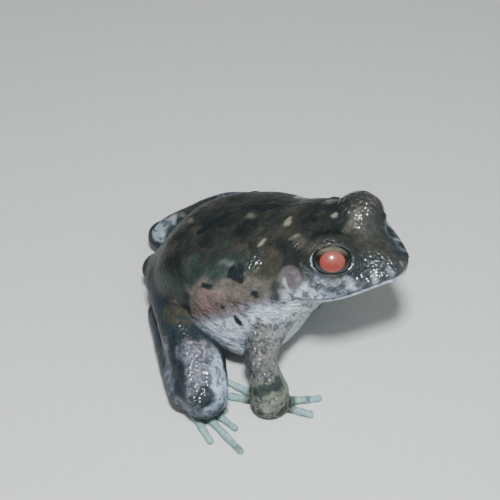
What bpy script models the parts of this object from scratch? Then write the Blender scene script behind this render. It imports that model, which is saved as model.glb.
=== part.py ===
"""Leptodactylus fremitus, a plump foam-nesting frog, sitting upright on straight forelimbs.

The frog faces -Y, its left side is +X and it stands on the floor at z = 0. Sizes are in
millimetres. A place on the frog is (side, ahead, high): side is positive towards its left,
ahead is positive towards the snout, high is the height above the floor.
"""

import math

import bmesh
import bpy
from mathutils import Matrix, Vector

MM = 0.001
GAP = 0.3  # the thin space kept between neighbouring nodes
LEFT, RIGHT = 1, -1
SIDE_NAMES = {LEFT: "left", RIGHT: "right"}

# The trunk's line from the rump to the neck:
# ahead, high, half width, height above, depth below, squareness of the section
TRUNK_ROWS = [
    (-4.5, 6.8, 1.6, 1.5, 1.5, 2.0),
    (-2.6, 7.9, 4.4, 3.7, 3.6, 2.0),
    (1.1, 9.8, 7.7, 6.3, 6.3, 2.1),
    (5.5, 12.3, 10.5, 8.2, 9.8, 2.3),
    (11.0, 15.4, 12.0, 7.9, 13.0, 2.4),
    (16.0, 18.0, 11.6, 7.4, 12.6, 2.4),
    (20.0, 20.2, 10.2, 6.6, 9.6, 2.2),
]

# The head's own line starts between the corners of the jaw and tilts upwards
HEAD_ROOT = (0.0, 25.0, 23.4)
HEAD_PITCH = math.radians(12.0)
# along, rise, half width, height above, depth below, squareness
HEAD_ROWS = [
    (-1.8, -0.6, 9.1, 6.0, 6.6, 2.2),
    (1.2, -0.7, 8.4, 5.6, 5.6, 2.2),
    (4.2, -0.6, 7.3, 4.7, 4.4, 2.3),
    (7.2, -0.3, 5.8, 3.6, 3.3, 2.3),
    (9.3, -0.1, 4.4, 2.8, 2.7, 2.3),
    (10.8, 0.0, 2.9, 1.9, 2.0, 2.2),
]
BODY_SIDES = 28
BODY_STEPS = 2
NECK_AT = -3.2  # where the head meets the trunk, along the head's line
MOUTH_BACK = (-2.5, -3.0)  # along, rise of the corner of the mouth
MOUTH_FRONT = (12.3, -0.9)
LIP_THICK = 0.55

EYE_RADIUS = 2.65
EYE_SPOT = (5.3, 3.8, 3.0)  # side, along, rise
EYE_AXIS = (0.79, 0.34, 0.55)
LID_RADIUS = 3.45
OPENING = (2.85, 2.2, 2.3)  # half length, half height and depth of the space between the lids
NOSTRIL = (1.8, 10.5, 1.5, 0.42)  # side, along, rise, radius
EARDRUM = (-1.0, 0.8, 1.4)  # along, rise, radius

# Joints of the limbs, with side measured outwards from the middle
HIP = (4.5, 0.0, 9.0)
KNEE = {LEFT: (20.2, 5.6, 5.2), RIGHT: (18.7, 15.0, 5.2)}
SHIN_TOP = {LEFT: (19.8, 3.2, 4.4), RIGHT: (18.5, 11.4, 4.1)}
HEEL = {LEFT: (9.2, -8.9, 4.6), RIGHT: (5.6, -1.2, 4.0)}
SOLE_TOP = {LEFT: (15.0, -1.6, 1.5), RIGHT: (13.0, 6.0, 1.5)}
SHOULDER = (7.0, 20.2, 15.0)
ELBOW = {LEFT: (13.0, 15.4, 9.5), RIGHT: (11.6, 19.6, 9.0)}
WRIST = {LEFT: (13.5, 13.5, 3.3), RIGHT: (13.0, 22.8, 3.3)}

SOLE_RUN = (3.3, 6.5)  # outwards and ahead, from the ankle to the roots of the toes
TOE_LENGTHS = (3.6, 6.0, 8.6, 12.0, 8.0)
TOE_ANGLES = (0.0, 9.0, 16.0, 24.0, 34.0)  # degrees outwards from straight ahead
TOE_THICK = 0.6
FINGER_LENGTHS = (7.6, 8.0, 7.4, 6.2)  # from the wrist to the tip
FINGER_ANGLES = {LEFT: (-130.0, -85.0, -30.0, 15.0), RIGHT: (174.0, -164.0, -62.0, -14.0)}
FINGER_THICK = 0.62

# Colours of the wet skin and the eye, as linear red, green and blue
DARK_SKIN = (0.045, 0.036, 0.030)
BROWN_SKIN = (0.085, 0.065, 0.055)
PALE_SKIN = (0.30, 0.29, 0.31)
EYE_RED = (0.62, 0.13, 0.07)


def clear_scene():
    for old in list(bpy.data.objects):
        bpy.data.objects.remove(old)


def place(side, ahead, high):
    return Vector((side, -ahead, high)) * MM


def head_frame():
    """From side, along and rise on the head to metres in the world."""
    along = Vector((0, -math.cos(HEAD_PITCH), math.sin(HEAD_PITCH)))
    rise = Vector((0, math.sin(HEAD_PITCH), math.cos(HEAD_PITCH)))
    frame = Matrix((Vector((1, 0, 0)), along, rise)).transposed() * MM
    frame.resize_4x4()
    frame.translation = place(*HEAD_ROOT)
    return frame


def head_place(side, along, rise):
    return head_frame() @ Vector((side, along, rise))


def head_direction(side, along, rise):
    return (head_frame().to_3x3() @ Vector((side, along, rise))).normalized()


def smooth_rows(rows, steps):
    """Rows of numbers on a smooth curve through the given ones, so many steps a span."""
    padded = [rows[0], *rows, rows[-1]]
    out = []
    for i in range(1, len(padded) - 2):
        a, b, c, d = (padded[i + k] for k in (-1, 0, 1, 2))
        for step in range(steps):
            t = step / steps
            weights = (
                0.5 * (-t + 2 * t**2 - t**3),
                0.5 * (2 - 5 * t**2 + 3 * t**3),
                0.5 * (t + 4 * t**2 - 3 * t**3),
                0.5 * (-(t**2) + t**3),
            )
            out.append([sum(w * v for w, v in zip(weights, group)) for group in zip(a, b, c, d)])
    out.append(list(rows[-1]))
    return out


def new_object(name, bm):
    mesh = bpy.data.meshes.new(name)
    bmesh.ops.recalc_face_normals(bm, faces=bm.faces)
    bm.to_mesh(mesh)
    bm.free()
    obj = bpy.data.objects.new(name, mesh)
    bpy.context.scene.collection.objects.link(obj)
    return obj


def rounded(value, power):
    return math.copysign(abs(value) ** (2.0 / power), value)


def loft(name, rows, sides, up_hint, caps, cap_rings=2):
    """A closed tube through rows of x, y, z, half width, above, below and squareness, in metres.

    caps are the lengths of the two rounded ends, in half widths of the end rows."""
    bm = bmesh.new()
    centres = [Vector(row[:3]) for row in rows]

    def tangent_at(i):
        return (centres[min(i + 1, len(rows) - 1)] - centres[max(i - 1, 0)]).normalized()

    def ring(centre, i, shrink):
        tangent = tangent_at(i)
        side = Vector(up_hint).cross(tangent).normalized()
        up = tangent.cross(side).normalized()
        half_width, above, below, power = rows[i][3:7]
        verts = []
        for k in range(sides):
            angle = 2 * math.pi * (k + 0.5) / sides
            across = rounded(math.cos(angle), power) * half_width
            rise = rounded(math.sin(angle), power) * (above if math.sin(angle) > 0 else below)
            verts.append(bm.verts.new(centre + shrink * (side * across + up * rise)))
        return verts

    def cap(i, outwards, length):
        """The pole of a rounded end, and its rings from the pole's side."""
        reach = outwards * length * rows[i][3] * tangent_at(i)
        pole = bm.verts.new(centres[i] + reach)
        angles = [0.5 * math.pi * k / (cap_rings + 1) for k in range(cap_rings, 0, -1)]
        return pole, [ring(centres[i] + reach * math.sin(a), i, math.cos(a)) for a in angles]

    last = len(rows) - 1
    start_pole, start = cap(0, -1, caps[0])
    end_pole, end = cap(last, 1, caps[1])
    rings = start + [ring(centres[i], i, 1.0) for i in range(len(rows))] + end[::-1]
    for lower, upper in zip(rings, rings[1:]):
        for k in range(sides):
            n = (k + 1) % sides
            bm.faces.new((lower[k], lower[n], upper[n], upper[k]))
    for pole, rim in ((start_pole, rings[0]), (end_pole, rings[-1])):
        for k in range(sides):
            bm.faces.new((pole, rim[k], rim[(k + 1) % sides]))
    return new_object(name, bm)


def limb(name, rows, sides=12, steps=3, up_hint=(0, 0, 1), caps=(1.0, 1.0)):
    """A rounded tube whose rows are a place, half width, height above and depth below, in mm."""
    flat = [(*place(*spot), wide * MM, above * MM, below * MM, 2.0) for spot, wide, above, below in rows]
    return loft(name, smooth_rows(flat, steps), sides, up_hint, caps)


def ball(name, centre, radii, segments=16, turn=None):
    bm = bmesh.new()
    bmesh.ops.create_uvsphere(bm, u_segments=segments, v_segments=segments // 2, radius=MM)
    bmesh.ops.scale(bm, vec=Vector(radii), verts=bm.verts)
    if turn:
        bmesh.ops.rotate(bm, cent=(0, 0, 0), matrix=turn, verts=bm.verts)
    bmesh.ops.translate(bm, vec=centre, verts=bm.verts)
    return new_object(name, bm)


def facing(axis, level):
    """A turn whose z is the axis and whose x is the level direction, made square to it."""
    z = axis.normalized()
    x = (level - z * level.dot(z)).normalized()
    return Matrix((x, z.cross(x), z)).transposed()


def copied(obj, name):
    copy = bpy.data.objects.new(name, obj.data.copy())
    bpy.context.scene.collection.objects.link(copy)
    return copy


def bake(obj):
    """Turns the object's modifiers into its mesh."""
    graph = bpy.context.evaluated_depsgraph_get()
    mesh = bpy.data.meshes.new_from_object(obj.evaluated_get(graph))
    obj.modifiers.clear()
    obj.data = mesh


def keep_largest(obj):
    """Drops every scrap but the largest closed surface."""
    bm = bmesh.new()
    bm.from_mesh(obj.data)
    seen, islands = set(), []
    for first in bm.verts:
        if first in seen:
            continue
        seen.add(first)
        island, stack = [], [first]
        while stack:
            vert = stack.pop()
            island.append(vert)
            for edge in vert.link_edges:
                other = edge.other_vert(vert)
                if other not in seen:
                    seen.add(other)
                    stack.append(other)
        islands.append(island)
    islands.sort(key=len)
    for island in islands[:-1]:
        bmesh.ops.delete(bm, geom=island, context="VERTS")
    bm.to_mesh(obj.data)
    bm.free()


def combine(base, others, operation):
    """Joins closed pieces to the base, or cuts them out of it, and removes them."""
    group = bpy.data.collections.new("pieces")
    for piece in others:
        group.objects.link(piece)
    change = base.modifiers.new("combine", "BOOLEAN")
    change.operation = operation
    change.operand_type = "COLLECTION"
    change.collection = group
    change.solver = "EXACT"
    bake(base)
    for piece in others:
        bpy.data.objects.remove(piece)
    bpy.data.collections.remove(group)
    keep_largest(base)
    return base


def fuse(pieces):
    return combine(pieces[0], pieces[1:], "UNION")


def cut(base, *cutters):
    return combine(base, list(cutters), "DIFFERENCE")


def press(target, *neighbours):
    """Hollows the target where its flesh meets a neighbour, and leaves the thin gap."""
    for neighbour in neighbours:
        swollen = copied(neighbour, "swollen")
        for vert in swollen.data.vertices:
            vert.co += vert.normal * GAP * MM
        cut(target, swollen)


def keep_beyond(obj, point, normal):
    """Cuts the object flat at a plane and keeps, closed, what lies on the normal's side."""
    bm = bmesh.new()
    bm.from_mesh(obj.data)
    geometry = bm.verts[:] + bm.edges[:] + bm.faces[:]
    bmesh.ops.bisect_plane(
        bm, geom=geometry, dist=1e-7, plane_co=point, plane_no=normal, clear_inner=True
    )
    rim = [edge for edge in bm.edges if edge.is_boundary]
    filled = bmesh.ops.holes_fill(bm, edges=rim, sides=0)
    bmesh.ops.triangulate(bm, faces=filled["faces"])
    bmesh.ops.recalc_face_normals(bm, faces=bm.faces)
    bm.to_mesh(obj.data)
    bm.free()


def stand_on_floor(obj):
    """Flattens whatever would sink below z = 0."""
    bm = bmesh.new()
    bmesh.ops.create_cube(bm, size=200 * MM)
    bmesh.ops.translate(bm, vec=(0, 0, -100 * MM), verts=bm.verts)
    cut(obj, new_object("floor", bm))


def paint(obj, colour, roughness=0.35):
    material = bpy.data.materials.new(obj.name)
    material.use_nodes = True
    surface = material.node_tree.nodes["Principled BSDF"]
    surface.inputs["Base Color"].default_value = (*colour, 1.0)
    surface.inputs["Roughness"].default_value = roughness
    surface.inputs["Metallic"].default_value = 0.0
    obj.data.materials.clear()
    obj.data.materials.append(material)


def outwards(spot, side):
    """A joint on the frog's left or right."""
    return (spot[0] * side, spot[1], spot[2])


def between(start, end, share):
    return tuple(a + (b - a) * share for a, b in zip(start, end))


def body():
    """The trunk and head as one smooth closed form."""
    rows = [
        (*place(0.0, ahead, high), wide * MM, above * MM, below * MM, power)
        for ahead, high, wide, above, below, power in TRUNK_ROWS
    ]
    rows += [
        (*head_place(0.0, along, rise), wide * MM, above * MM, below * MM, power)
        for along, rise, wide, above, below, power in HEAD_ROWS
    ]
    return loft("torso", smooth_rows(rows, BODY_STEPS), BODY_SIDES, (0, 0, 1), (0.8, 0.65))


def lip(name, block, point, normal, thick):
    """A rounded rim along the flat cut of the mouth, from one corner round the snout."""
    to_head = head_frame().inverted()
    rim = []
    for vert in block.data.vertices:
        if abs((vert.co - point).dot(normal)) < 1e-6:
            rim.append(to_head @ vert.co)
    rim = [spot for spot in rim if spot.y > MOUTH_BACK[0] + 1.0]
    rim.sort(key=lambda spot: math.atan2(spot.x, spot.y))
    lift = to_head.to_3x3() @ normal.normalized() * MM
    rows = []
    for spot in rim[::3]:
        inwards = Vector((-spot.x, 3.0 - spot.y, 0.0)).normalized()
        centre = head_frame() @ (spot + inwards * thick * 0.7 + lift * thick * 0.9)
        rows.append((*centre, thick * MM, thick * MM, thick * MM, 2.0))
    return loft(name, rows, 6, (0, 0.2, 1), (0.8, 0.8), cap_rings=1)


def build_head(core):
    """The head above the mouth and the jaw below it, cut from the front of the body."""
    neck_line = head_direction(0, 1, 0)
    neck = head_place(0, NECK_AT, 0) + neck_line * 0.5 * GAP * MM
    back, front = head_place(0, *MOUTH_BACK), head_place(0, *MOUTH_FRONT)
    mouth_up = (front - back).cross(Vector((-1, 0, 0))).normalized()
    if mouth_up.z < 0:
        mouth_up.negate()
    head, jaw = copied(core, "head"), copied(core, "jaw")
    for block in (head, jaw):
        keep_beyond(block, neck, neck_line)
    roof, floor = (back + mouth_up * step * 0.5 * GAP * MM for step in (1, -1))
    keep_beyond(head, roof, mouth_up)
    keep_beyond(jaw, floor, -mouth_up)
    parts = [head, lip("upper_lip", head, roof, mouth_up, LIP_THICK)]
    chin = lip("lower_lip", jaw, floor, -mouth_up, LIP_THICK * 0.8)
    eyes, holes = [], []
    for side in (LEFT, RIGHT):
        label = SIDE_NAMES[side]
        spot = head_place(EYE_SPOT[0] * side, *EYE_SPOT[1:])
        axis = head_direction(EYE_AXIS[0] * side, *EYE_AXIS[1:])
        level = head_direction(-EYE_AXIS[1] * side, EYE_AXIS[0], 0)
        parts.append(ball("lids", spot, [LID_RADIUS] * 3, 16))
        eyes.append(ball(f"eye_{label}", spot, [EYE_RADIUS] * 3, 16))
        opening = ball("opening", spot + axis * LID_RADIUS * 0.85 * MM, OPENING, 16, facing(axis, level))
        nostril = ball("nostril", head_place(NOSTRIL[0] * side, *NOSTRIL[1:3]), [NOSTRIL[3]] * 3, 8)
        holes += [opening, nostril]
        on_skin = core.closest_point_on_mesh(head_place(12.0 * side, *EARDRUM[:2]))
        drum_turn = facing(on_skin[2], head_direction(0, 1, 0))
        parts.append(ball("eardrum", on_skin[1], (EARDRUM[2], EARDRUM[2], 0.4), 14, drum_turn))
        fold = []
        for along, rise, thick in ((1.6, 2.9, 0.5), (-0.9, 2.6, 0.6), (-2.5, 1.4, 0.6), (-2.6, -0.6, 0.5)):
            near = core.closest_point_on_mesh(head_place(12.0 * side, along, rise))
            fold.append((*(near[1] - near[2] * 0.15 * MM), thick * MM, thick * MM, thick * MM, 2.0))
        parts.append(loft("ear_fold", smooth_rows(fold, 2), 6, (side, 0, 0), (0.8, 0.8), cap_rings=1))
    fuse(parts)
    fuse([jaw, chin])
    cut(head, *holes)
    press(head, *eyes)
    press(jaw, head)
    neck_back = head_place(0, NECK_AT, 0) - neck_line * 0.5 * GAP * MM
    keep_beyond(core, neck_back, -neck_line)
    press(core, head)
    return [core, head, jaw, *eyes]


def digit(base, angle, length, thick, side, start=0.0):
    """A finger or toe on the floor, slightly arched at its root and blunt at its tip."""
    turn = math.radians(angle)
    ahead = Vector((math.sin(turn) * side, math.cos(turn)))

    def spot(share, high):
        reach = start + (length - start) * share
        return (base[0] + ahead.x * reach, base[1] + ahead.y * reach, high)

    rows = [
        (spot(0.0, thick * 1.4), thick * 1.3, thick * 1.1, thick * 1.3),
        (spot(0.35, thick * 1.25), thick * 1.05, thick * 1.0, thick * 1.2),
        (spot(0.7, thick * 0.95), thick * 0.9, thick * 0.85, thick * 0.95),
        (spot(1.0, thick * 0.75), thick * 0.85, thick * 0.75, thick * 0.8),
    ]
    return limb("digit", rows, sides=7, steps=2)


def build_arm(side, torso, jaw):
    label = SIDE_NAMES[side]
    shoulder, elbow, wrist = (outwards(p, side) for p in (SHOULDER, ELBOW[side], WRIST[side]))
    upper_rows = [
        (shoulder, 3.3, 3.3, 3.3),
        (between(shoulder, elbow, 0.5), 2.9, 2.9, 2.9),
        (elbow, 2.35, 2.35, 2.35),
    ]
    upper = limb(f"upper_arm_{label}", upper_rows, up_hint=(0, -1, 0))
    press(upper, torso, jaw)
    lower_rows = [
        (elbow, 2.1, 2.1, 2.1),
        (between(elbow, wrist, 0.35), 2.4, 2.35, 2.35),
        (between(elbow, wrist, 0.75), 2.25, 2.1, 2.1),
        (wrist, 2.3, 2.0, 2.0),
    ]
    lower = limb(f"forearm_{label}", lower_rows, up_hint=(0, -1, 0), caps=(1.0, 0.6))
    press(lower, torso, upper)
    palm = ball(f"hand_{label}", place(wrist[0], wrist[1], 1.0), (2.7, 2.7, 1.7))
    digits = [
        digit((wrist[0], wrist[1]), angle, length, FINGER_THICK, side, 1.2)
        for angle, length in zip(FINGER_ANGLES[side], FINGER_LENGTHS)
    ]
    hand = fuse([palm, *digits])
    stand_on_floor(hand)
    press(hand, lower)
    return [(upper, shoulder), (lower, elbow), (hand, wrist)]


def build_leg(side, torso):
    label = SIDE_NAMES[side]
    joints = (HIP, KNEE[side], SHIN_TOP[side], HEEL[side], SOLE_TOP[side])
    hip, knee, shin_top, heel, sole = (outwards(p, side) for p in joints)
    thigh_rows = [
        (hip, 3.6, 4.0, 3.6),
        (between(hip, knee, 0.4), 4.4, 4.4, 3.9),
        (between(hip, knee, 0.8), 4.3, 4.0, 3.7),
        (knee, 3.4, 3.2, 3.2),
    ]
    thigh = limb(f"thigh_{label}", thigh_rows, sides=14)
    press(thigh, torso)
    shank_rows = [
        (shin_top, 2.5, 2.6, 2.5),
        (between(shin_top, heel, 0.3), 3.0, 3.1, 2.7),
        (between(shin_top, heel, 0.7), 2.4, 2.5, 2.2),
        (heel, 2.2, 2.2, 1.9),
    ]
    shank = limb(f"shank_{label}", shank_rows)
    press(shank, torso, thigh)
    tarsus_rows = [
        ((heel[0], heel[1] + 0.4, 2.0), 1.6, 1.4, 1.8),
        (between((heel[0], heel[1], 1.6), sole, 0.5), 1.5, 1.3, 1.5),
        (sole, 1.5, 1.1, 1.4),
    ]
    tarsus = limb(f"tarsus_{label}", tarsus_rows)
    stand_on_floor(tarsus)
    press(tarsus, torso, thigh, shank)
    sole_end = (sole[0] + SOLE_RUN[0] * side, sole[1] + SOLE_RUN[1], 0.8)
    pad_rows = [
        (sole, 1.4, 0.9, 1.2),
        (between(sole, sole_end, 0.55), 2.0, 0.85, 1.1),
        (sole_end, 2.3, 0.8, 0.9),
    ]
    pad = limb(f"foot_{label}", pad_rows)
    toes = []
    for k, (angle, length) in enumerate(zip(TOE_ANGLES, TOE_LENGTHS)):
        root = (sole_end[0] + (k - 2) * 0.8 * side, sole_end[1] - 0.6 - abs(k - 2.5) * 0.5)
        toes.append(digit(root, angle, length, TOE_THICK, side))
    foot = fuse([pad, *toes])
    stand_on_floor(foot)
    press(foot, tarsus, shank, thigh)
    return [(thigh, hip), (shank, shin_top), (tarsus, heel), (foot, sole)]


def settle(nodes):
    """Gives each node its joint as origin, and stands the frog about the world's centre."""
    corners = [vert.co for obj, _ in nodes for vert in obj.data.vertices]
    low = [min(corner[k] for corner in corners) for k in range(3)]
    high = [max(corner[k] for corner in corners) for k in range(3)]
    frog = bpy.data.objects.new("frog", None)
    bpy.context.scene.collection.objects.link(frog)
    frog.location = (-0.5 * (low[0] + high[0]), -0.5 * (low[1] + high[1]), -low[2])
    for obj, joint in nodes:
        origin = place(*joint)
        obj.data.transform(Matrix.Translation(-origin))
        obj.data.shade_smooth()
        obj.parent = frog
        obj.location = origin


def main():
    clear_scene()
    torso = body()
    torso, head, jaw, *eyes = build_head(torso)
    eye_joints = [(EYE_SPOT[0] * side, HEAD_ROOT[1] + EYE_SPOT[1], HEAD_ROOT[2]) for side in (LEFT, RIGHT)]
    nodes = [(torso, (0.0, 10.0, 12.0)), (head, HEAD_ROOT), (jaw, HEAD_ROOT), *zip(eyes, eye_joints)]
    for side in (LEFT, RIGHT):
        nodes += build_arm(side, torso, jaw)
        nodes += build_leg(side, torso)
    for obj, _ in nodes:
        if obj.name.startswith("eye"):
            paint(obj, EYE_RED, 0.1)
        elif obj.name.startswith(("jaw", "hand", "foot")):
            paint(obj, PALE_SKIN)
        elif obj.name.startswith(("upper", "forearm", "shank", "tarsus")):
            paint(obj, BROWN_SKIN)
        else:
            paint(obj, DARK_SKIN)
    settle(nodes)


main()
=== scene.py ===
# %% [markdown]
# # A foam-nesting frog in wet skin
# The real animal is a plump little frog, about 47 mm along its back, that sits on straight forelimbs
# with its hind limbs folded beside it. The measured solids of its body are already made. This lesson
# grows one smooth skin over them, sets two eyes in it, and paints it with the pigments a frog has.
# The skin could be sculpted by hand, but numbers in millimetres can be checked and changed, so the
# flesh is described as rounded tubes and balls that melt into each other.

# %% Load the solids
import math

import bmesh
import bpy
import numpy as np
from mathutils import Matrix, Vector, noise

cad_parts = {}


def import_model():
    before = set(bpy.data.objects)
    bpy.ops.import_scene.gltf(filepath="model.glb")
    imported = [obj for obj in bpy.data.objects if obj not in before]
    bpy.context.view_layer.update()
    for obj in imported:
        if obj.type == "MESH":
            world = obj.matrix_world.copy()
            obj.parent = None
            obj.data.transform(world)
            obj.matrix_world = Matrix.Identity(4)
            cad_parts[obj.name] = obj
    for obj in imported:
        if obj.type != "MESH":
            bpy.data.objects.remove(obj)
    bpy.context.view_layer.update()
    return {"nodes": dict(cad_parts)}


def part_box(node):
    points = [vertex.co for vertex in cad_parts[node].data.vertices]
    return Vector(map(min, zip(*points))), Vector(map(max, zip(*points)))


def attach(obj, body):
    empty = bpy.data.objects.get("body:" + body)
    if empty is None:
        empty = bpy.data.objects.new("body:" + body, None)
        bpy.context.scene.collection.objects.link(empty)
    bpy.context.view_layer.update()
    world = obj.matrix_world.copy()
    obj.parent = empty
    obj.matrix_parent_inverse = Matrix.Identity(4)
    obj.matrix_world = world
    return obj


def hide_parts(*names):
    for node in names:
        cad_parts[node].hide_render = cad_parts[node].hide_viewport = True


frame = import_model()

# %% [markdown]
# A place on the frog is told as side, ahead and high, in millimetres: side is positive towards the
# frog's own left, ahead towards its snout, and high is above the floor. The head tilts up by twelve
# degrees, so it has a ruler of its own: side, along the head, and rise above its middle line.

# %% Places on the frog
MM = 0.001
LEFT, RIGHT = 1, -1
HEAD_ROOT = (0.0, 25.0, 23.4)
PITCH = math.radians(12.0)
EYE_SPOT = (5.3, 3.8, 3.0)


def spot(side, ahead, high):
    return np.array([side, -ahead, high], dtype=float)


ALONG = spot(0, math.cos(PITCH), math.sin(PITCH))
RISE = spot(0, -math.sin(PITCH), math.cos(PITCH))


def head_spot(side, along, rise):
    return spot(*HEAD_ROOT) + along * ALONG + rise * RISE + spot(side, 0, 0)


def head_line(side, along, rise):
    way = along * ALONG + rise * RISE + spot(side, 0, 0)
    return way / np.linalg.norm(way)


eye_low, eye_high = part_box("eye_left")
SHIFT = np.array([(eye_low[k] + eye_high[k]) / 2 for k in range(3)]) / MM - head_spot(*EYE_SPOT)
print("the frog stands this far from where it was drawn, in mm:", SHIFT.round(3))

# %% [markdown]
# The camera looks down on the frog's right side at 44 degrees, through a long lens from a hand's
# length away. The floor is plain and pale. Two large, dim lamps fill the shadows. The main light is a
# small flash just above the camera: on wet skin a small lamp shows again in every gland, so the frog
# sparkles wherever it faces the viewer, and each eye gets one small highlight.

# %% Camera and lamps
VIEW_AZIMUTH, VIEW_HEIGHT = math.radians(-62.4), math.radians(44.0)
AIM = spot(1.15, 12.07, 16.4)
CAMERA_FAR = 205.0
TO_CAMERA = np.array(
    [
        math.sin(VIEW_AZIMUTH) * math.cos(VIEW_HEIGHT),
        -math.cos(VIEW_AZIMUTH) * math.cos(VIEW_HEIGHT),
        math.sin(VIEW_HEIGHT),
    ]
)


def world(place):
    return Vector((np.asarray(place) + SHIFT) * MM)


def look(obj, target):
    obj.rotation_euler = (world(target) - obj.location).to_track_quat("-Z", "Y").to_euler()


lens = bpy.data.cameras.new("portrait_lens")
lens.sensor_width, lens.lens, lens.clip_start = 36.0, 98.45, 0.005
camera = bpy.data.objects.new("camera", lens)
bpy.context.scene.collection.objects.link(camera)
camera.location = world(AIM + TO_CAMERA * CAMERA_FAR)
look(camera, AIM)
bpy.context.scene.camera = camera


def lamp(name, place, size, watts, colour=(1, 1, 1)):
    light = bpy.data.lights.new(name, "AREA")
    light.size, light.energy, light.color = size * MM, watts, colour
    obj = bpy.data.objects.new(name, light)
    bpy.context.scene.collection.objects.link(obj)
    obj.location = world(place)
    look(obj, spot(0, 10, 10))
    return obj


def beside_camera(azimuth, height, far):
    a, h = VIEW_AZIMUTH + math.radians(azimuth), math.radians(height)
    way = np.array([math.sin(a) * math.cos(h), -math.cos(a) * math.cos(h), math.sin(h)])
    return spot(0, 12, 14) + far * way


lamp("soft_box", beside_camera(-24, 62, 420), 620, 0.62)
lamp("soft_fill", beside_camera(60, 34, 460), 480, 0.5, (0.93, 0.96, 1.0))
lamp("flash", beside_camera(1, 58, 225), 22, 0.98, (0.95, 0.98, 1.0))
studio = bpy.data.worlds.new("studio")
studio.use_nodes = True
studio.node_tree.nodes["Background"].inputs["Color"].default_value = (0.80, 0.84, 0.86, 1)
studio.node_tree.nodes["Background"].inputs["Strength"].default_value = 0.12
bpy.context.scene.world = studio
print("camera at", [round(v, 4) for v in camera.location])

# %% [markdown]
# Flesh is measured as depth: how far a point is outside the surface, in millimetres, negative inside.
# A tube runs through stations, each with a place, a half width, a height above and a depth below its
# line, and a squareness. Two depths are joined with a soft minimum, which rounds the crease between
# them as living flesh does: wide at a hip, hardly at all where two limbs only touch.

# %% Depth of tubes and balls
def smooth_rows(rows, steps):
    """Rows on a smooth curve through the given ones."""
    rows = np.array(rows, dtype=float)
    padded = np.vstack([rows[:1], rows, rows[-1:]])
    out = []
    for i in range(1, len(padded) - 2):
        a, b, c, d = padded[i - 1 : i + 3]
        for t in np.arange(steps) / steps:
            out.append(
                0.5
                * (
                    (-t + 2 * t**2 - t**3) * a
                    + (2 - 5 * t**2 + 3 * t**3) * b
                    + (t + 4 * t**2 - 3 * t**3) * c
                    + (t**3 - t**2) * d
                )
            )
    return np.array(out + [rows[-1]])


def tube(rows, steps=6, up_hint=(0, 0, 1), caps=(1.0, 1.0)):
    """rows: (place, half width, above, below) or with a squareness last."""
    flat = [[*row[0], *row[1:], *([2.0] if len(row) == 4 else [])] for row in rows]
    rows = smooth_rows(flat, steps)
    centres = rows[:, :3]
    way = np.gradient(centres, axis=0)
    way /= np.linalg.norm(way, axis=1)[:, None]
    across = np.cross(np.array(up_hint, dtype=float), way)
    across /= np.linalg.norm(across, axis=1)[:, None]
    up = np.cross(way, across)
    reach = rows[:, 3:6].max(axis=1)
    return {
        "centres": centres,
        "way": way,
        "across": across,
        "up": up,
        "size": rows[:, 3:],
        "caps": (caps[0] * rows[0, 3], caps[1] * rows[-1, 3]),
        "low": (centres - reach[:, None]).min(axis=0),
        "high": (centres + reach[:, None]).max(axis=0),
    }


def tube_depth(form, points):
    centres, way, size = form["centres"], form["way"], form["size"]
    distance = (centres**2).sum(axis=1) - 2 * points @ centres.T
    nearest = distance.argmin(axis=1)
    behind = ((points - centres[nearest]) * way[nearest]).sum(axis=1) < 0
    start = np.clip(nearest - behind, 0, len(centres) - 2)
    span = centres[start + 1] - centres[start]
    share = ((points - centres[start]) * span).sum(axis=1) / (span**2).sum(axis=1)
    length = np.linalg.norm(span, axis=1)
    past = np.where(start == 0, np.minimum(share, 0), 0) * length
    past = past + np.where(start == len(centres) - 2, np.maximum(share - 1, 0), 0) * length
    share = np.clip(share, 0, 1)[:, None]
    rest = points - (centres[start] + span * share)
    across = form["across"][start] * (1 - share) + form["across"][start + 1] * share
    up = form["up"][start] * (1 - share) + form["up"][start + 1] * share
    wide, above, below, power = (size[start] * (1 - share) + size[start + 1] * share).T
    s, u = (rest * across).sum(axis=1), (rest * up).sum(axis=1)
    tall = np.where(u > 0, above, below)
    gauge = ((np.abs(s) / wide) ** power + (np.abs(u) / tall) ** power) ** (1 / power)
    cap = np.where(past < 0, form["caps"][0], form["caps"][1])
    gauge = np.sqrt(gauge**2 + (past / cap) ** 2)
    radius = np.sqrt(s**2 + u**2 + past**2)
    return np.where(gauge > 1e-3, radius * (1 - 1 / np.maximum(gauge, 1e-3)), -np.minimum(wide, tall))


# %% Depth of a ball, and soft joins
def ball(centre, radii, turn=None):
    turn = np.eye(3) if turn is None else turn
    centre, radii = np.array(centre, dtype=float), np.array(radii, dtype=float)
    low, high = centre - radii.max(), centre + radii.max()
    return {"centre": centre, "radii": radii, "turn": turn, "low": low, "high": high}


def ball_depth(form, points):
    local = (points - form["centre"]) @ form["turn"].T
    gauge = np.sqrt(((local / form["radii"]) ** 2).sum(axis=1))
    radius = np.sqrt((local**2).sum(axis=1))
    return np.where(gauge > 1e-3, radius * (1 - 1 / np.maximum(gauge, 1e-3)), -form["radii"].min())


def depth_of(form, points):
    return tube_depth(form, points) if "way" in form else ball_depth(form, points)


def soft_min(a, b, blend):
    overlap = np.clip(blend - np.abs(a - b), 0, None) / blend
    return np.minimum(a, b) - overlap**3 * blend / 6


# %% [markdown]
# The depths are kept on a grid of points 0.28 mm apart, fine enough for a finger and coarse enough to
# run in seconds. Each form only touches the part of the grid around it.

# %% The grid
PITCH_MM = 0.28
FAR_OUTSIDE = 9.0
BATCH = 150000
GRID_LOW = spot(-24.5, 39.5, -0.6)
GRID_HIGH = spot(26.5, -13.5, 32.0)
COUNTS = np.ceil((GRID_HIGH - GRID_LOW) / PITCH_MM).astype(int) + 1
AXES = [GRID_LOW[k] + PITCH_MM * np.arange(COUNTS[k]) for k in range(3)]


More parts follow.
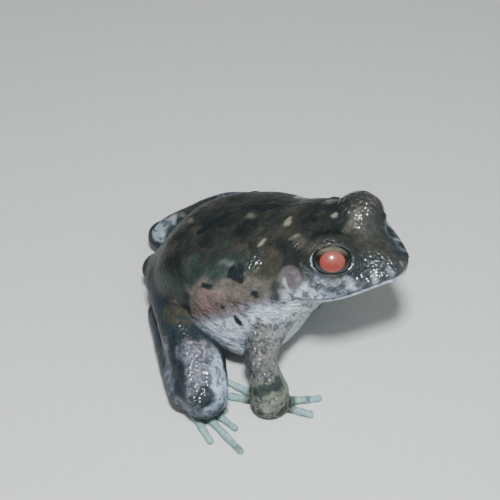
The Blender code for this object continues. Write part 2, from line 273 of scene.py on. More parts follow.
def empty_grid():
    return np.full(tuple(COUNTS), FAR_OUTSIDE, dtype=np.float32)


def window(form, margin):
    low = np.floor((form["low"] - margin - GRID_LOW) / PITCH_MM).astype(int).clip(0)
    high = np.ceil((form["high"] + margin - GRID_LOW) / PITCH_MM).astype(int) + 1
    return tuple(slice(low[k], min(high[k], COUNTS[k])) for k in range(3))


def measure(form, part):
    gx, gy, gz = np.meshgrid(*(AXES[k][part[k]] for k in range(3)), indexing="ij")
    points = np.stack([gx.ravel(), gy.ravel(), gz.ravel()], axis=1)
    out = [depth_of(form, points[i : i + BATCH]) for i in range(0, len(points), BATCH)]
    return np.concatenate(out).reshape(gx.shape).astype(np.float32)


def add(grid, form, blend=0.4):
    part = window(form, 2.0 + blend)
    grid[part] = soft_min(grid[part], measure(form, part), blend)


def dig(grid, form, blend=0.3):
    part = window(form, 1.0 + blend)
    grid[part] = -soft_min(-grid[part], measure(form, part), blend)


def near(place, radius, inside, outside):
    """A blend width that is wide close to a joint and narrow away from it."""
    away = [((AXES[k] - place[k]) ** 2).astype(np.float32) for k in range(3)]
    squared = away[0][:, None, None] + away[1][None, :, None] + away[2][None, None, :]
    return (outside + (inside - outside) * np.exp(-squared / radius**2)).astype(np.float32)


print("grid points:", int(np.prod(COUNTS)))

# %% [markdown]
# The trunk is a sack that is narrow at the rump, widest and lowest at the belly, and runs into the
# head with hardly a neck. One tube carries both, so there is no seam behind the head. A thin roll of
# flesh along each jaw makes the upper lip.

# %% Trunk and head
# ahead, high, half width, above, below, squareness
TRUNK_ROWS = [
    (-4.2, 6.5, 2.5, 1.9, 2.2, 2.0),
    (-2.3, 7.5, 4.9, 3.1, 3.8, 2.0),
    (1.1, 9.6, 7.9, 5.2, 6.6, 2.1),
    (5.5, 12.3, 10.5, 7.5, 11.4, 2.5),
    (11.0, 15.4, 12.1, 7.0, 15.2, 2.6),
    (16.0, 18.0, 11.5, 6.6, 12.8, 2.5),
    (20.0, 20.2, 10.1, 6.3, 8.7, 2.2),
]
# along, rise, half width, above, below, squareness
HEAD_ROWS = [
    (-1.8, -0.6, 9.1, 6.0, 6.6, 2.2),
    (1.2, -0.7, 8.4, 5.6, 5.6, 2.2),
    (4.2, -0.6, 7.3, 4.7, 4.4, 2.3),
    (7.2, -0.3, 5.0, 3.3, 3.3, 2.2),
    (9.3, -0.25, 3.5, 2.2, 2.6, 2.1),
    (10.8, -0.6, 2.4, 1.3, 1.6, 2.0),
]
# side, along, rise, radius
LIP_ROWS = [
    (7.4, -1.0, -1.0, 1.7),
    (7.5, 2.0, -0.6, 1.75),
    (6.9, 4.5, -0.4, 1.7),
    (5.0, 7.2, -0.6, 1.35),
    (3.3, 9.2, -0.55, 1.15),
    (1.8, 10.8, -0.75, 0.9),
]
trunk_line = [(spot(0, ahead, high), *rest) for ahead, high, *rest in TRUNK_ROWS]
trunk_line += [(head_spot(0, along, rise), *rest) for along, rise, *rest in HEAD_ROWS]
forms = {"body": [tube(trunk_line, caps=(0.8, 0.65))], "leg": [], "foot": [], "arm": [], "hand": []}
flesh = empty_grid()
add(flesh, forms["body"][0], 0.1)
for side in (LEFT, RIGHT):
    lip = tube([(head_spot(out * side, along, rise), r, r, r) for out, along, rise, r in LIP_ROWS])
    add(flesh, lip, 1.2)
    forms["body"].append(lip)

# %% [markdown]
# Each hind limb is folded: the thigh runs out to the knee, the shank comes back under it to the heel,
# and the long sole lies on the floor with five toes. Where thigh and shank only press on each other
# the crease stays sharp, and at the hip, knee and heel the flesh is one.

# %% Hind limbs
HIP = (4.5, 0.9, 9.4)
KNEE = {LEFT: (20.2, 5.6, 5.2), RIGHT: (18.7, 15.0, 5.2)}
THIGH_MIDDLE = {LEFT: (12.6, 3.6, 8.2), RIGHT: (12.0, 9.4, 7.3)}
SHIN_TOP = {LEFT: (19.8, 3.2, 6.2), RIGHT: (18.4, 11.8, 4.1)}
HEEL = {LEFT: (9.2, -8.1, 3.7), RIGHT: (6.2, 0.4, 3.9)}
SOLE_TOP = {LEFT: (15.0, -1.6, 1.5), RIGHT: (13.0, 6.0, 1.5)}
SHANK_FLESH = {LEFT: (3.5, 4.3, 3.4), RIGHT: (2.8, 2.9, 2.7)}
SOLE_RUN = (3.3, 6.5)
TOE_LENGTHS = (3.6, 6.0, 8.6, 12.0, 8.0)
TOE_ANGLES = (0.0, 9.0, 16.0, 24.0, 34.0)


def on_side(place, side):
    return spot(place[0] * side, place[1], place[2])


def between(start, end, share):
    return start + (end - start) * share


def digit(root, angle, length, thick, side, start=0.0):
    """A finger or toe with knuckles and a blunt, slightly swollen tip."""
    turn = math.radians(angle)
    way = spot(math.sin(turn) * side, math.cos(turn), 0)
    rows = []
    for share, high, fat in (
        (0.0, 1.40, 1.25),
        (0.22, 1.32, 0.98),
        (0.38, 1.25, 1.12),
        (0.56, 1.08, 0.88),
        (0.70, 1.00, 1.02),
        (0.86, 0.86, 0.80),
        (1.0, 0.84, 0.90),
    ):
        place = np.array(root) + way * (start + (length - start) * share)
        place[2] = thick * high
        rows.append((place, thick * fat, thick * fat * 0.95, thick * fat))
    return tube(rows, steps=3)


for side in (LEFT, RIGHT):
    joints = (HIP, THIGH_MIDDLE[side], KNEE[side], SHIN_TOP[side], HEEL[side], SOLE_TOP[side])
    hip, middle, knee, shin_top, heel, sole = (on_side(joint, side) for joint in joints)
    thigh = tube(
        [
            (hip, 3.4, 4.0, 3.6),
            (between(hip, middle, 0.7), 4.2, 4.4, 3.9),
            (between(middle, knee, 0.4), 4.2, 4.0, 3.7),
            (knee, 3.4, 3.2, 3.2),
        ]
    )
    wide, above, below = SHANK_FLESH[side]
    shank = tube(
        [
            (shin_top, 2.8, 2.8, 2.7),
            (between(shin_top, heel, 0.3), wide, above, below),
            (between(shin_top, heel, 0.7), wide * 0.88, above * 0.9, below * 0.85),
            (heel, wide * 0.76, wide * 0.76, wide * 0.66),
        ]
    )
    tarsus = tube(
        [
            (heel + spot(0, 0.4, 2.0 - heel[2]), 1.6, 1.4, 1.8),
            (between(np.array([heel[0], heel[1], 1.6]), sole, 0.5), 1.5, 1.3, 1.5),
            (sole, 1.5, 1.1, 1.4),
        ]
    )
    leg = empty_grid()
    add(leg, thigh, 0.2)
    part = window(shank, 3.0)
    leg[part] = soft_min(leg[part], measure(shank, part), near(knee, 5.0, 2.2, 0.25)[part])
    sole_end = np.array([sole[0] + SOLE_RUN[0] * side, sole[1] - SOLE_RUN[1], 0.8])
    pad = tube(
        [(sole, 1.4, 0.9, 1.2), (between(sole, sole_end, 0.55), 2.0, 0.85, 1.1), (sole_end, 2.3, 0.8, 0.9)]
    )
    toes = []
    for k, (angle, length) in enumerate(zip(TOE_ANGLES, TOE_LENGTHS)):
        root = sole_end + spot((k - 2) * 0.8 * side, -0.6 - abs(k - 2.5) * 0.5, 0)
        toes.append(digit(root, angle, length, 0.6, side))
    foot = empty_grid()
    add(foot, tarsus, 0.2)
    add(foot, pad, 1.0)
    for toe in toes:
        add(foot, toe, 0.5)
    leg = soft_min(leg, foot, near(heel, 3.0, 1.6, 0.25))
    flesh = soft_min(flesh, leg, near(hip, 5.5, 2.6, 0.35))
    forms["leg"] += [thigh, shank]
    forms["foot"] += [tarsus, pad, *toes]
print("hind limbs on")

# %% [markdown]
# The forelimbs stand nearly straight, as on a frog that holds its chest off the ground. The hand has
# four fingers: on the near side two point back along the belly and two point ahead.

# %% Forelimbs
SHOULDER = (7.0, 20.2, 15.0)
ELBOW = {LEFT: (13.0, 15.4, 9.5), RIGHT: (11.3, 20.1, 9.0)}
WRIST = {LEFT: (13.5, 13.5, 3.3), RIGHT: (12.3, 22.5, 3.3)}
FINGER_LENGTHS = (7.6, 8.0, 7.4, 6.2)
FINGER_ANGLES = {LEFT: (-130.0, -85.0, -30.0, 15.0), RIGHT: (167.0, -173.0, -37.0, -10.0)}
for side in (LEFT, RIGHT):
    shoulder, elbow, wrist = (on_side(joint, side) for joint in (SHOULDER, ELBOW[side], WRIST[side]))
    upper_arm = tube(
        [(shoulder, 3.3, 3.3, 3.3), (between(shoulder, elbow, 0.5), 2.7, 2.7, 2.7), (elbow, 2.2, 2.2, 2.2)],
        up_hint=(0, -1, 0),
    )
    forearm = tube(
        [
            (elbow, 2.2, 2.2, 2.2),
            (between(elbow, wrist, 0.35), 2.4, 2.3, 2.3),
            (between(elbow, wrist, 0.75), 2.8, 2.5, 2.5),
            (wrist, 3.0, 2.7, 2.7),
        ],
        up_hint=(0, -1, 0),
        caps=(1.0, 0.6),
    )
    palm = ball([wrist[0], wrist[1], 1.5], (3.1, 3.0, 2.6))
    fingers = [
        digit(wrist, angle, length, 0.62, side, 1.2)
        for angle, length in zip(FINGER_ANGLES[side], FINGER_LENGTHS)
    ]
    arm = empty_grid()
    add(arm, upper_arm, 0.2)
    add(arm, forearm, 1.2)
    add(arm, palm, 1.0)
    for finger in fingers:
        add(arm, finger, 0.5)
    flesh = soft_min(flesh, arm, near(shoulder, 5.0, 2.2, 0.3))
    forms["arm"] += [upper_arm, forearm]
    forms["hand"] += [palm, *fingers]
print("forelimbs on")

# %% [markdown]
# The eyes stand up from the head like two domes. Each rests in a broad mound, the socket, and the lids
# are a ball a little larger than the eye, melted into that mound, with an opening cut in it that is
# longer than it is high. The far eye looks a little lower, so its upper lid covers it from the camera.
# The nostrils are small pits at the end of the snout. Whatever would sink below the floor is cut flat.

# %% Lids and nostrils
EYE_RADIUS = 3.1
LID_RADIUS = 3.4
EYE_AXIS = {LEFT: (0.88, 0.36, 0.30), RIGHT: (0.64, 0.455, 0.62)}
EYE_LEVEL = (0.48, 0.85, -0.20)
OPENING = (3.45, 2.0, 2.4)
SOCKET = (3.9, 3.7, 3.0)


def facing(axis, level):
    """A turn whose third line is the axis and whose first is the level line made square to it."""
    z = axis / np.linalg.norm(axis)
    x = level - z * (level @ z)
    x /= np.linalg.norm(x)
    return np.array([x, np.cross(z, x), z])


eyes = {}
for side in (LEFT, RIGHT):
    centre = head_spot(EYE_SPOT[0] * side, *EYE_SPOT[1:])
    out_way, along_way, rise_way = EYE_AXIS[side]
    axis = head_line(out_way * side, along_way, rise_way)
    turn = facing(axis, head_line(-EYE_LEVEL[0] * side, *EYE_LEVEL[1:]))
    opening = centre + axis * 3.0
    lids = ball(centre, [LID_RADIUS] * 3)
    socket = ball(centre - axis * 1.2, SOCKET, turn)
    add(flesh, socket, 2.8)
    add(flesh, lids, 1.6)
    dig(flesh, ball(opening, OPENING, turn), 0.25)
    dig(flesh, ball(head_spot(2.5 * side, 10.4, 0.7), [0.30] * 3), 0.25)
    forms["body"] += [lids, socket]
    eyes[side] = (centre, axis, turn, opening)
flesh = np.maximum(flesh, -AXES[2][None, None, :].astype(np.float32))

# %% [markdown]
# The skin is drawn where the depth passes zero. Each grid cell that the surface crosses gets one
# point, at the middle of its crossings, and each crossed grid line gets one face around it. The
# points are then smoothed and put back on the true surface, so that no step of the grid shows.

# %% From depth to skin
def cell_points(grid):
    shape = tuple(n - 1 for n in grid.shape)
    inside = grid < 0
    corners = [(i, j, k) for i in (0, 1) for j in (0, 1) for k in (0, 1)]
    at_corner = [inside[tuple(slice(c[k], c[k] + shape[k]) for k in range(3))] for c in corners]
    count = sum(flags.astype(np.int8) for flags in at_corner)
    active = np.argwhere((count > 0) & (count < 8))
    total, crossings = np.zeros((len(active), 3)), np.zeros(len(active))
    for c in corners:
        for axis in range(3):
            if c[axis]:
                continue
            other = list(c)
            other[axis] = 1
            a = grid[tuple((active + c).T)]
            b = grid[tuple((active + other).T)]
            cross = (a < 0) != (b < 0)
            share = np.where(cross, a / np.where(cross, a - b, 1), 0)
            place = np.array(c, dtype=float)[None, :].repeat(len(active), 0)
            place[:, axis] = share
            total += np.where(cross[:, None], place, 0)
            crossings += cross
    index = np.full(shape, -1, dtype=np.int64)
    index[tuple(active.T)] = np.arange(len(active))
    return GRID_LOW + PITCH_MM * (active + total / crossings[:, None]), index


def cell_faces(grid, index):
    inside = grid < 0
    faces = []
    for axis in range(3):
        b, c = (axis + 1) % 3, (axis + 2) % 3
        low = [slice(1, -1)] * 3
        low[axis] = slice(0, -1)
        high = list(low)
        high[axis] = slice(1, None)
        start, end = inside[tuple(low)], inside[tuple(high)]
        for flip in (False, True):
            where = np.argwhere((start & ~end) if not flip else (end & ~start))
            where[:, b] += 1
            where[:, c] += 1
            ring = []
            for db, dc in ((-1, -1), (0, -1), (0, 0), (-1, 0)):
                cell = where.copy()
                cell[:, b] += db
                cell[:, c] += dc
                ring.append(index[tuple(cell.T)])
            ring = np.stack(ring if not flip else ring[::-1], axis=1)
            faces.append(ring)
    return np.concatenate(faces)


# %% [markdown]
# A point is moved to the middle of its neighbours to even the mesh out, and then slides along the
# slope of the depth field until the depth is zero again.

# %% Even points on the true surface
def sample(grid, points):
    place = (points - GRID_LOW) / PITCH_MM
    cell = np.floor(place).astype(int).clip(0, np.array(grid.shape) - 2)
    t = place - cell
    out = 0
    for i in (0, 1):
        for j in (0, 1):
            for k in (0, 1):
                weight = abs(1 - i - t[:, 0]) * abs(1 - j - t[:, 1]) * abs(1 - k - t[:, 2])
                out = out + weight * grid[cell[:, 0] + i, cell[:, 1] + j, cell[:, 2] + k]
    return out


def slope_at(grid, points, step=0.2):
    sides = [
        sample(grid, points + step * axis) - sample(grid, points - step * axis) for axis in np.eye(3)
    ]
    return np.stack(sides, axis=1) / (2 * step)


def relax(points, faces, rounds, grid):
    edges = np.concatenate([faces[:, [k, (k + 1) % 4]] for k in range(4)])
    edges = np.concatenate([edges, edges[:, ::-1]])
    share = 1 / np.bincount(edges[:, 0], minlength=len(points))[:, None]
    for _ in range(rounds):
        sums = [np.bincount(edges[:, 0], points[edges[:, 1], k], len(points)) for k in range(3)]
        mean = np.stack(sums, axis=1) * share
        points = points + 0.5 * (mean - points)
        slope = slope_at(grid, points)
        size = (slope**2).sum(axis=1, keepdims=True)
        move = sample(grid, points)[:, None] * slope / np.maximum(size, 0.1)
        points = points - np.clip(move, -0.1, 0.1)
    return points


grid_points, cell_index = cell_points(flesh)
faces = cell_faces(flesh, cell_index)
skin_points = relax(grid_points, faces, 4, flesh)
outward = slope_at(flesh, skin_points)
outward /= np.linalg.norm(outward, axis=1, keepdims=True)
print("skin points:", len(skin_points), "faces:", len(faces))

# %% [markdown]
# Folds, glands and markings are all drawn as strokes: a path over the skin with a width. Their edges
# wander a little, because the points that measure them are first nudged by smooth noise. A stroke
# can lift or sink the skin, or say where a pigment lies. The noise gets a fixed seed first, so that
# the frog comes out the same every time.

# %% Strokes
noise.seed_set(3)


def wandering(points, size, amount, seed):
    """The points, each nudged by smooth noise of the given grain, in mm."""
    moved = [noise.noise_vector(Vector(place / size) + Vector((seed, 0, 0))) for place in points]
    return points + amount * np.array(moved)


def gap_to(points, path, radius=0.0):
    """How far points lie outside a stroke: negative within its half width."""
    path = [np.array(place, dtype=float) for place in path]
    if len(path) == 1:
        path.append(path[0] + 1e-3)
    radii = np.broadcast_to(radius, len(path))
    best = np.full(len(points), 99.0)
    for a, b, near_a, near_b in zip(path, path[1:], radii, radii[1:]):
        span = b - a
        share = np.clip((points - a) @ span / (span @ span), 0, 1)
        reach = np.linalg.norm(points - a - share[:, None] * span, axis=1)
        best = np.minimum(best, reach - (near_a + (near_b - near_a) * share))
    return best


def mirrored(path):
    return [np.array([-place[0], place[1], place[2]]) for place in path]


def on_skin(places):
    """The nearest point of the skin to each place."""
    return [skin_points[((skin_points - place) ** 2).sum(axis=1).argmin()] for place in places]


def on_body(*places):
    return on_skin([spot(*place) for place in places])


def on_head(*places):
    return on_skin([head_spot(*place) for place in places])


def fade(value, start, end):
    """0 before start, 1 past end, smooth between."""
    share = np.clip((value - start) / (end - start), 0, 1)
    return share * share * (3 - 2 * share)


# %% [markdown]
# A frog's head carries a groove of the mouth under a rounded upper lip, a round eardrum, a fold of
# skin that arches over it and down to the shoulder, a blunt ridge from the eye to the nostril, and
# thin ridges of glands along the back. Loose skin also folds in the groin, the armpit and the throat.

# %% Mouth and eardrum
mouth_along = np.array([-2.6, -0.8, 1.7, 3.8, 5.7, 7.6, 9.4, 11.5, 12.8])
mouth_rise = np.array([-3.0, -2.2, -1.6, -1.3, -1.15, -1.05, -0.95, -0.9, -0.8])
from_root = skin_points - spot(*HEAD_ROOT)
head_along, head_rise = from_root @ ALONG, from_root @ RISE
mouth_gap = head_rise - np.interp(head_along, mouth_along, mouth_rise)
on_jaws = fade(head_along, -2.6, -0.6)
lift = on_jaws * 0.16 * np.exp(-(((mouth_gap - 0.62) / 0.42) ** 2))
lift += on_jaws * 0.10 * np.exp(-(((mouth_gap + 0.5) / 0.35) ** 2))
lift -= on_jaws * 0.30 * np.exp(-((mouth_gap / 0.24) ** 2))

EAR = on_head((-8.5, -0.9, 1.5))
EAR_RADIUS = 1.85
ear_gap = np.minimum(gap_to(skin_points, EAR, EAR_RADIUS), gap_to(skin_points, mirrored(EAR), EAR_RADIUS))
ear_lift = 0.10 * np.exp(-((ear_gap / 0.2) ** 2)) - 0.10 * fade(-ear_gap, 0.1, 0.5)
lift += ear_lift + 0.06 * fade(-ear_gap, 0.7, 1.4)

# %% Folds and ridges
EAR_FOLD = on_head(
    (-7.9, 2.5, 4.4), (-7.35, 0.7, 3.9), (-7.3, -1.1, 3.5), (-7.9, -2.3, 2.7), (-8.6, -3.0, 1.3),
    (-9.1, -3.1, -0.5), (-9.3, -2.9, -2.2), (-9.8, -3.6, -4.0),
)
FOLDS = [
    (EAR_FOLD, 0.55, 0.30),
    (on_head((-5.6, 6.6, 3.6), (-4.2, 8.4, 2.7), (-2.9, 9.8, 2.0)), 0.7, 0.20),
    (on_head((-6.0, 7.2, 1.7), (-4.2, 9.2, 1.1)), 1.0, -0.15),
    (on_head((-8.5, 3.1, 1.5), (-8.6, 4.1, 1.4), (-8.2, 5.1, 1.3), (-7.7, 6.0, 1.2)), 0.5, 0.24),
    (on_head((-8.1, 1.0, 3.2), (-8.4, 1.8, 2.8)), 0.6, 0.14),
    (on_head((-9.6, -2.6, -2.9), (-8.4, -0.8, -3.7), (-7.5, 2.0, -3.5)), 0.28, -0.22),
    (
        on_body((-10.3, 19.4, 18.6), (-10.0, 21.0, 18.4), (-9.3, 22.6, 19.0), (-8.4, 24.2, 19.0), (-7.6, 25.6, 18.6)),
        0.3, -0.25,
    ),
    (on_body((-7.9, 23.6, 17.2), (-6.6, 24.4, 15.6), (-5.2, 24.9, 14.9)), 0.3, -0.15),
    (
        on_body((-10.7, 5.2, 13.4), (-11.4, 8.0, 12.4), (-12.4, 10.4, 11.4), (-12.6, 12.8, 10.2), (-11.3, 14.3, 7.4)),
        0.3, -0.18,
    ),
    (on_body((-13.4, 14.4, 9.4), (-14.6, 16.2, 8.2), (-16.0, 17.4, 7.0), (-17.0, 18.2, 5.4)), 0.35, 0.14),
    (on_body((-12.2, 12.2, 9.6), (-11.6, 14.6, 8.4), (-11.4, 17.0, 8.8)), 0.25, -0.16),
    (on_body((-11.8, 14.0, 10.6), (-11.6, 15.6, 10.1), (-11.3, 17.2, 11.0)), 0.25, -0.14),
    (on_body((-11.9, 12.6, 12.6), (-11.8, 14.2, 12.0), (-11.5, 15.8, 12.4)), 0.25, -0.14),
    (on_body((-11.0, 7.4, 17.6), (-11.9, 9.6, 15.6), (-12.1, 11.6, 13.8)), 0.6, -0.12),
    (on_body((-11.4, 10.4, 19.0), (-12.0, 12.4, 16.8), (-11.9, 14.2, 14.4)), 0.6, -0.12),
    (on_body((-10.4, 14.6, 20.8), (-11.4, 16.0, 18.0), (-11.4, 17.2, 15.4)), 0.6, -0.12),
    (on_body((-3.7, 20.6, 26.6), (-4.1, 16.0, 24.8), (-3.9, 11.0, 22.8), (-3.3, 6.2, 20.8)), 0.35, 0.09),
    (on_body((-0.9, 17.6, 26.2), (-1.0, 12.6, 23.8), (-0.8, 8.4, 21.8)), 0.35, 0.06),
]
nudged = wandering(skin_points, 2.0, 0.35, 3.0)
for path, width, height in FOLDS:
    for line in (path, mirrored(path)):
        lift += height * np.exp(-((gap_to(nudged, line) / width) ** 2))
print("deepest groove and highest ridge, mm:", round(lift.min(), 2), round(lift.max(), 2))

# %% [markdown]
# Limbs, hands and trunk wear different skin, so each point is told how far it belongs to each kind of
# flesh. Then all of it gets the soft unevenness of loose skin over muscle, and the flats that the
# frog rests on are kept flat.

# %% Loose skin
def share_of(kind):
    nearest = np.min([depth_of(form, skin_points) for form in forms[kind]], axis=0)
    return np.exp(-np.clip(nearest, 0, 9) / 0.35)


shares = {kind: share_of(kind) for kind in forms}
total = sum(shares.values()) + 1e-6
shares = {kind: share / total for kind, share in shares.items()}


def cloud(size, seed, octaves=3):
    """Soft random patches of the given size in mm, from about -1 to 1."""
    places = skin_points / size + seed
    return np.array([noise.fractal(Vector(place), 1.0, 2.0, octaves) for place in places])


lift += 0.12 * cloud(3.4, 0.0, 1) + 0.02 * cloud(1.5, 5.0, 1)
skin_shape = skin_points + outward * lift[:, None]
skin_shape[:, 2] = np.maximum(skin_shape[:, 2], 0.0)
skin_shape[skin_points[:, 2] < 0.03, 2] = 0.0
print({kind: int(share.sum()) for kind, share in shares.items()})

# %% [markdown]
# A frog's colour lies in layers of cells: black melanin, brown and olive over it, and white cells
# below that show where the dark ones are few. So the skin is painted the same way, from the dark of
# the back down to the white of the belly, with pigments that are each one colour. Soft zones are laid
# on the points of the skin. Marks with a crisp edge are kept as a distance to their edge instead, and
# the shader cuts them out at its own, finer scale.

# %% Pigments
def linear(hex_code):
    """An sRGB hex colour turned to linear light."""
    parts = [int(hex_code[k : k + 2], 16) / 255 for k in (0, 2, 4)]
    return np.array([p / 12.92 if p <= 0.04045 else ((p + 0.055) / 1.055) ** 2.4 for p in parts])


PIGMENTS = {
    "umber": "282b28",
    "soot": "191e1e",
    "brown": "3c3a33",
    "snout_brown": "363733",
    "moss": "2c3631",
    "olive": "403f33",
    "flank": "56514b",
    "rose": "635250",
    "lilac": "726f75",
    "belly_white": "b2bdca",
    "lip_white": "adb8c4",
    "lip_grey": "666c75",
    "throat": "b8c6cc",
    "arm_brown": "605f5c",
    "arm_olive": "60675b",
    "arm_grey": "7d8288",
    "leg_lilac": "686a76",
    "leg_blue": "9eafc1",
    "leg_dark": "20292e",
    "ear": "585255",
    "bone": "9a9584",
    "hand": "84a29f",
    "pale_grey": "7e8790",
}
ground = np.tile(linear(PIGMENTS["umber"]), (len(skin_points), 1))


def lay(pigment, mask):
    """Paint a pigment over the skin, as thick as the mask says."""
    thick = np.clip(mask, 0, 1)[:, None]
    ground[:] = ground + (linear(PIGMENTS[pigment]) - ground) * thick


calm = 1 - 0.65 * fade(head_along, -4.5, -2.5)[:, None]
drift = wandering(skin_points, 2.6, 1.1, 21.0) + wandering(skin_points, 0.9, 0.35, 33.0) - 2 * skin_points
drift = skin_points + calm * drift
side, ahead, high = drift[:, 0], -drift[:, 1], drift[:, 2]
along_drift = (drift - spot(*HEAD_ROOT)) @ ALONG
rise_drift = (drift - spot(*HEAD_ROOT)) @ RISE


def stroke(path, radius, soft=0.35):
    """1 within a stroke, falling to 0 over its soft edge."""
    return fade(-gap_to(drift, path, radius), -soft, soft)


# %% [markdown]
# On the trunk the colour changes with the height below the back line: nearly black on top, mossy and
# brown on the shoulder of the body, rose and lilac on the flank, bluish white on the belly.

# %% Trunk
trunk = shares["body"]
back_line = np.interp(
    ahead, [-4, 0, 4, 8, 12, 16, 20, 24, 30], [7.5, 13, 18.5, 21.5, 23.7, 25.4, 26.7, 28.0, 29.5]
)
drop = back_line - high
flank_ahead = fade(ahead, 7.6, 10.4)
white_drop = np.interp(ahead, [4, 12, 17, 20, 25], [10.6, 10.5, 9.2, 7.2, 6.8])
lay("brown", 0.55 * fade(cloud(3.2, 11.0), 0.0, 0.35))
lay("soot", 0.6 * fade(cloud(4.0, 17.0), 0.02, 0.3) * (1 - fade(drop, 1.5, 3.5)))
lay("moss", trunk * fade(drop, 0.4, 1.6) * (1 - fade(drop, 3.2, 4.6)) * (1 - fade(ahead, 15, 19)) * 0.9)
lay("olive", trunk * 0.35 * fade(drop, 1.2, 2.4) * fade(ahead, 15, 18))
lay("flank", trunk * flank_ahead * fade(drop, 2.6, 4.4))
lay(
    "rose",
    trunk * flank_ahead * fade(drop, 4.0, 5.6) * (1 - fade(ahead, 13, 18)) * (0.75 + 0.5 * cloud(1.6, 61.0)),
)
lay("lilac", trunk * flank_ahead * fade(drop, white_drop - 2.6, white_drop - 0.4))
lay("belly_white", trunk * flank_ahead * fade(drop, white_drop - 0.6, white_drop + 1.8))
lay("belly_white", trunk * (1 - flank_ahead) * (1 - fade(high, 2.5, 6.0)) * 0.7)
SHADE = [
    ("soot", 0.8, 1.1, on_body((-4.5, 7.6, 21.3), (-1.2, 7.5, 21.5), (-0.5, 9.6, 22.4))),
    ("soot", 0.7, 1.2, on_body((3.9, 10.6, 22.7), (3.9, 15.6, 24.7))),
    ("soot", 0.7, 1.4, on_body((4.0, 6.4, 20.8), (6.0, 8.0, 20.6))),
    ("soot", 0.6, 0.9, on_body((-2.8, 12.5, 23.6), (-3.9, 14.0, 24.0))),
    ("soot", 0.7, 1.3, on_body((-7.6, 4.4, 17.8), (-9.4, 7.4, 17.4))),
    ("moss", 0.7, 1.0, on_body((-8.3, 12.5, 22.3), (-9.4, 12.0, 21.5), (-7.1, 14.0, 23.3))),
    ("lilac", 0.35, 0.5, on_body((-8.9, 14.1, 22.6), (-8.3, 12.5, 22.3))),
    # painted highlight: a pale line along the edge of the groin fold
    ("bone", 0.5, 0.3, on_body((-10.7, 5.4, 14.0), (-11.5, 8.2, 12.4), (-11.7, 9.2, 12.3))),
    ("olive", 0.7, 1.0, on_body((-11.6, 6.6, 12.6), (-11.0, 5.2, 12.6))),
    ("brown", 0.5, 0.8, on_body((4.2, 2.7, 19.1), (6.0, 1.6, 17.0))),
    ("bone", 0.4, 0.7, on_body((-0.6, 2.8, 19.5))),
    ("soot", 0.8, 0.8, on_body((-3.4, 2.3, 19.0), (-4.6, 1.4, 17.6))),
    ("brown", 0.6, 1.3, on_body((-6.4, 18.0, 24.6), (-7.4, 21.0, 24.8))),
    ("brown", 0.6, 1.2, on_body((-3.5, 16.4, 25.2), (-3.0, 18.2, 26.2), (-3.2, 20.7, 27.5))),
    ("bone", 0.30, 0.8, on_body((0.8, 12.5, 23.7))),
    ("bone", 0.22, 0.34, on_body((-4.3, 21.5, 27.6), (-3.7, 22.1, 27.9))),
    ("soot", 0.7, 1.2, on_body((-7.2, 1.2, 15.6), (-8.2, 4.6, 18.4))),
]
for pigment, strength, radius, path in SHADE:
    lay(pigment, strength * stroke(path, radius, radius * 0.6))
print("trunk painted:", ground.min().round(3), ground.max().round(3))

# %% [markdown]
# The head is dark brown in front of a pale bar between the eyes and nearly black behind it. The upper
# lip is blotched with grey and bluish white, the lower lip and the throat are plain and pale, and the
# eardrum is a smooth pinkish disc with a dark rim above and a pale cord of skin behind it.

# %% Head
on_top = fade(along_drift, -1.5, 0.5)
in_front = fade(along_drift, 3.6, 4.6)
lay("snout_brown", on_top * in_front * (0.75 + 0.5 * cloud(1.2, 41.0)))
lay("soot", 0.6 * stroke(on_head((-2.4, 1.6, 5.6), (0.6, 1.7, 5.6), (2.6, 1.5, 5.8)), 1.5, 0.9))
BAR = on_head((-0.9, 3.9, 4.2), (0.6, 3.7, 4.2), (1.4, 3.9, 4.2), (2.1, 4.4, 4.5), (2.8, 4.2, 5.2))
lay("bone", 0.13 * stroke(BAR, 0.5, 0.3))
BEHIND_EYE = on_head((-4.6, -1.1, 4.8), (-5.2, 0.2, 4.8), (-6.2, 1.6, 5.2))
EYE_SHADE = on_head((-5.2, 7.4, 1.8), (-4.0, 8.8, 2.0), (-3.0, 10.2, 1.5), (-2.3, 11.2, 1.2))
for line_on in (list, mirrored):
    lay("flank", 0.5 * stroke(line_on(BEHIND_EYE), 0.8, 0.6))
    lay("leg_dark", 0.8 * stroke(line_on(EYE_SHADE), 1.6, 0.8))
cheek_top = np.interp(
    along_drift,
    [-3.5, -2, 0, 1.2, 2.2, 3, 6.2, 7.0, 7.8, 10, 13],
    [-1.2, -0.4, 0.2, 1.7, 3.3, 3.3, 2.4, 0.7, 0.1, -0.3, -0.5],
)
head_side = fade(along_drift, -3.4, -2.4)
# Painted shade: on the far side, from the eye forward, the pale of the cheek starts lower, so that side of the head
# is darker.
cheek_top -= 1.3 * fade(side, 0.5, 1.5) * fade(along_drift, 3.0, 5.5)
cheek = head_side * fade(cheek_top - rise_drift, -0.5, 0.7)
lay("lip_grey", cheek * trunk)
lay(
    "lip_white",
    cheek * trunk * fade(-0.2 - rise_drift, -0.4, 0.8) * (1 - fade(along_drift, 3.5, 6.5)) * 0.7,
)
EAR_FRONT = on_head((-8.0, 0.9, 3.5), (-8.25, 1.7, 3.5), (-8.5, 1.9, 2.7), (-8.5, 1.5, 2.0))
EAR_CORD = on_head((-8.9, -2.4, 1.3), (-9.1, -2.1, 0.2), (-9.2, -1.6, -0.9), (-9.2, -1.3, -1.8))
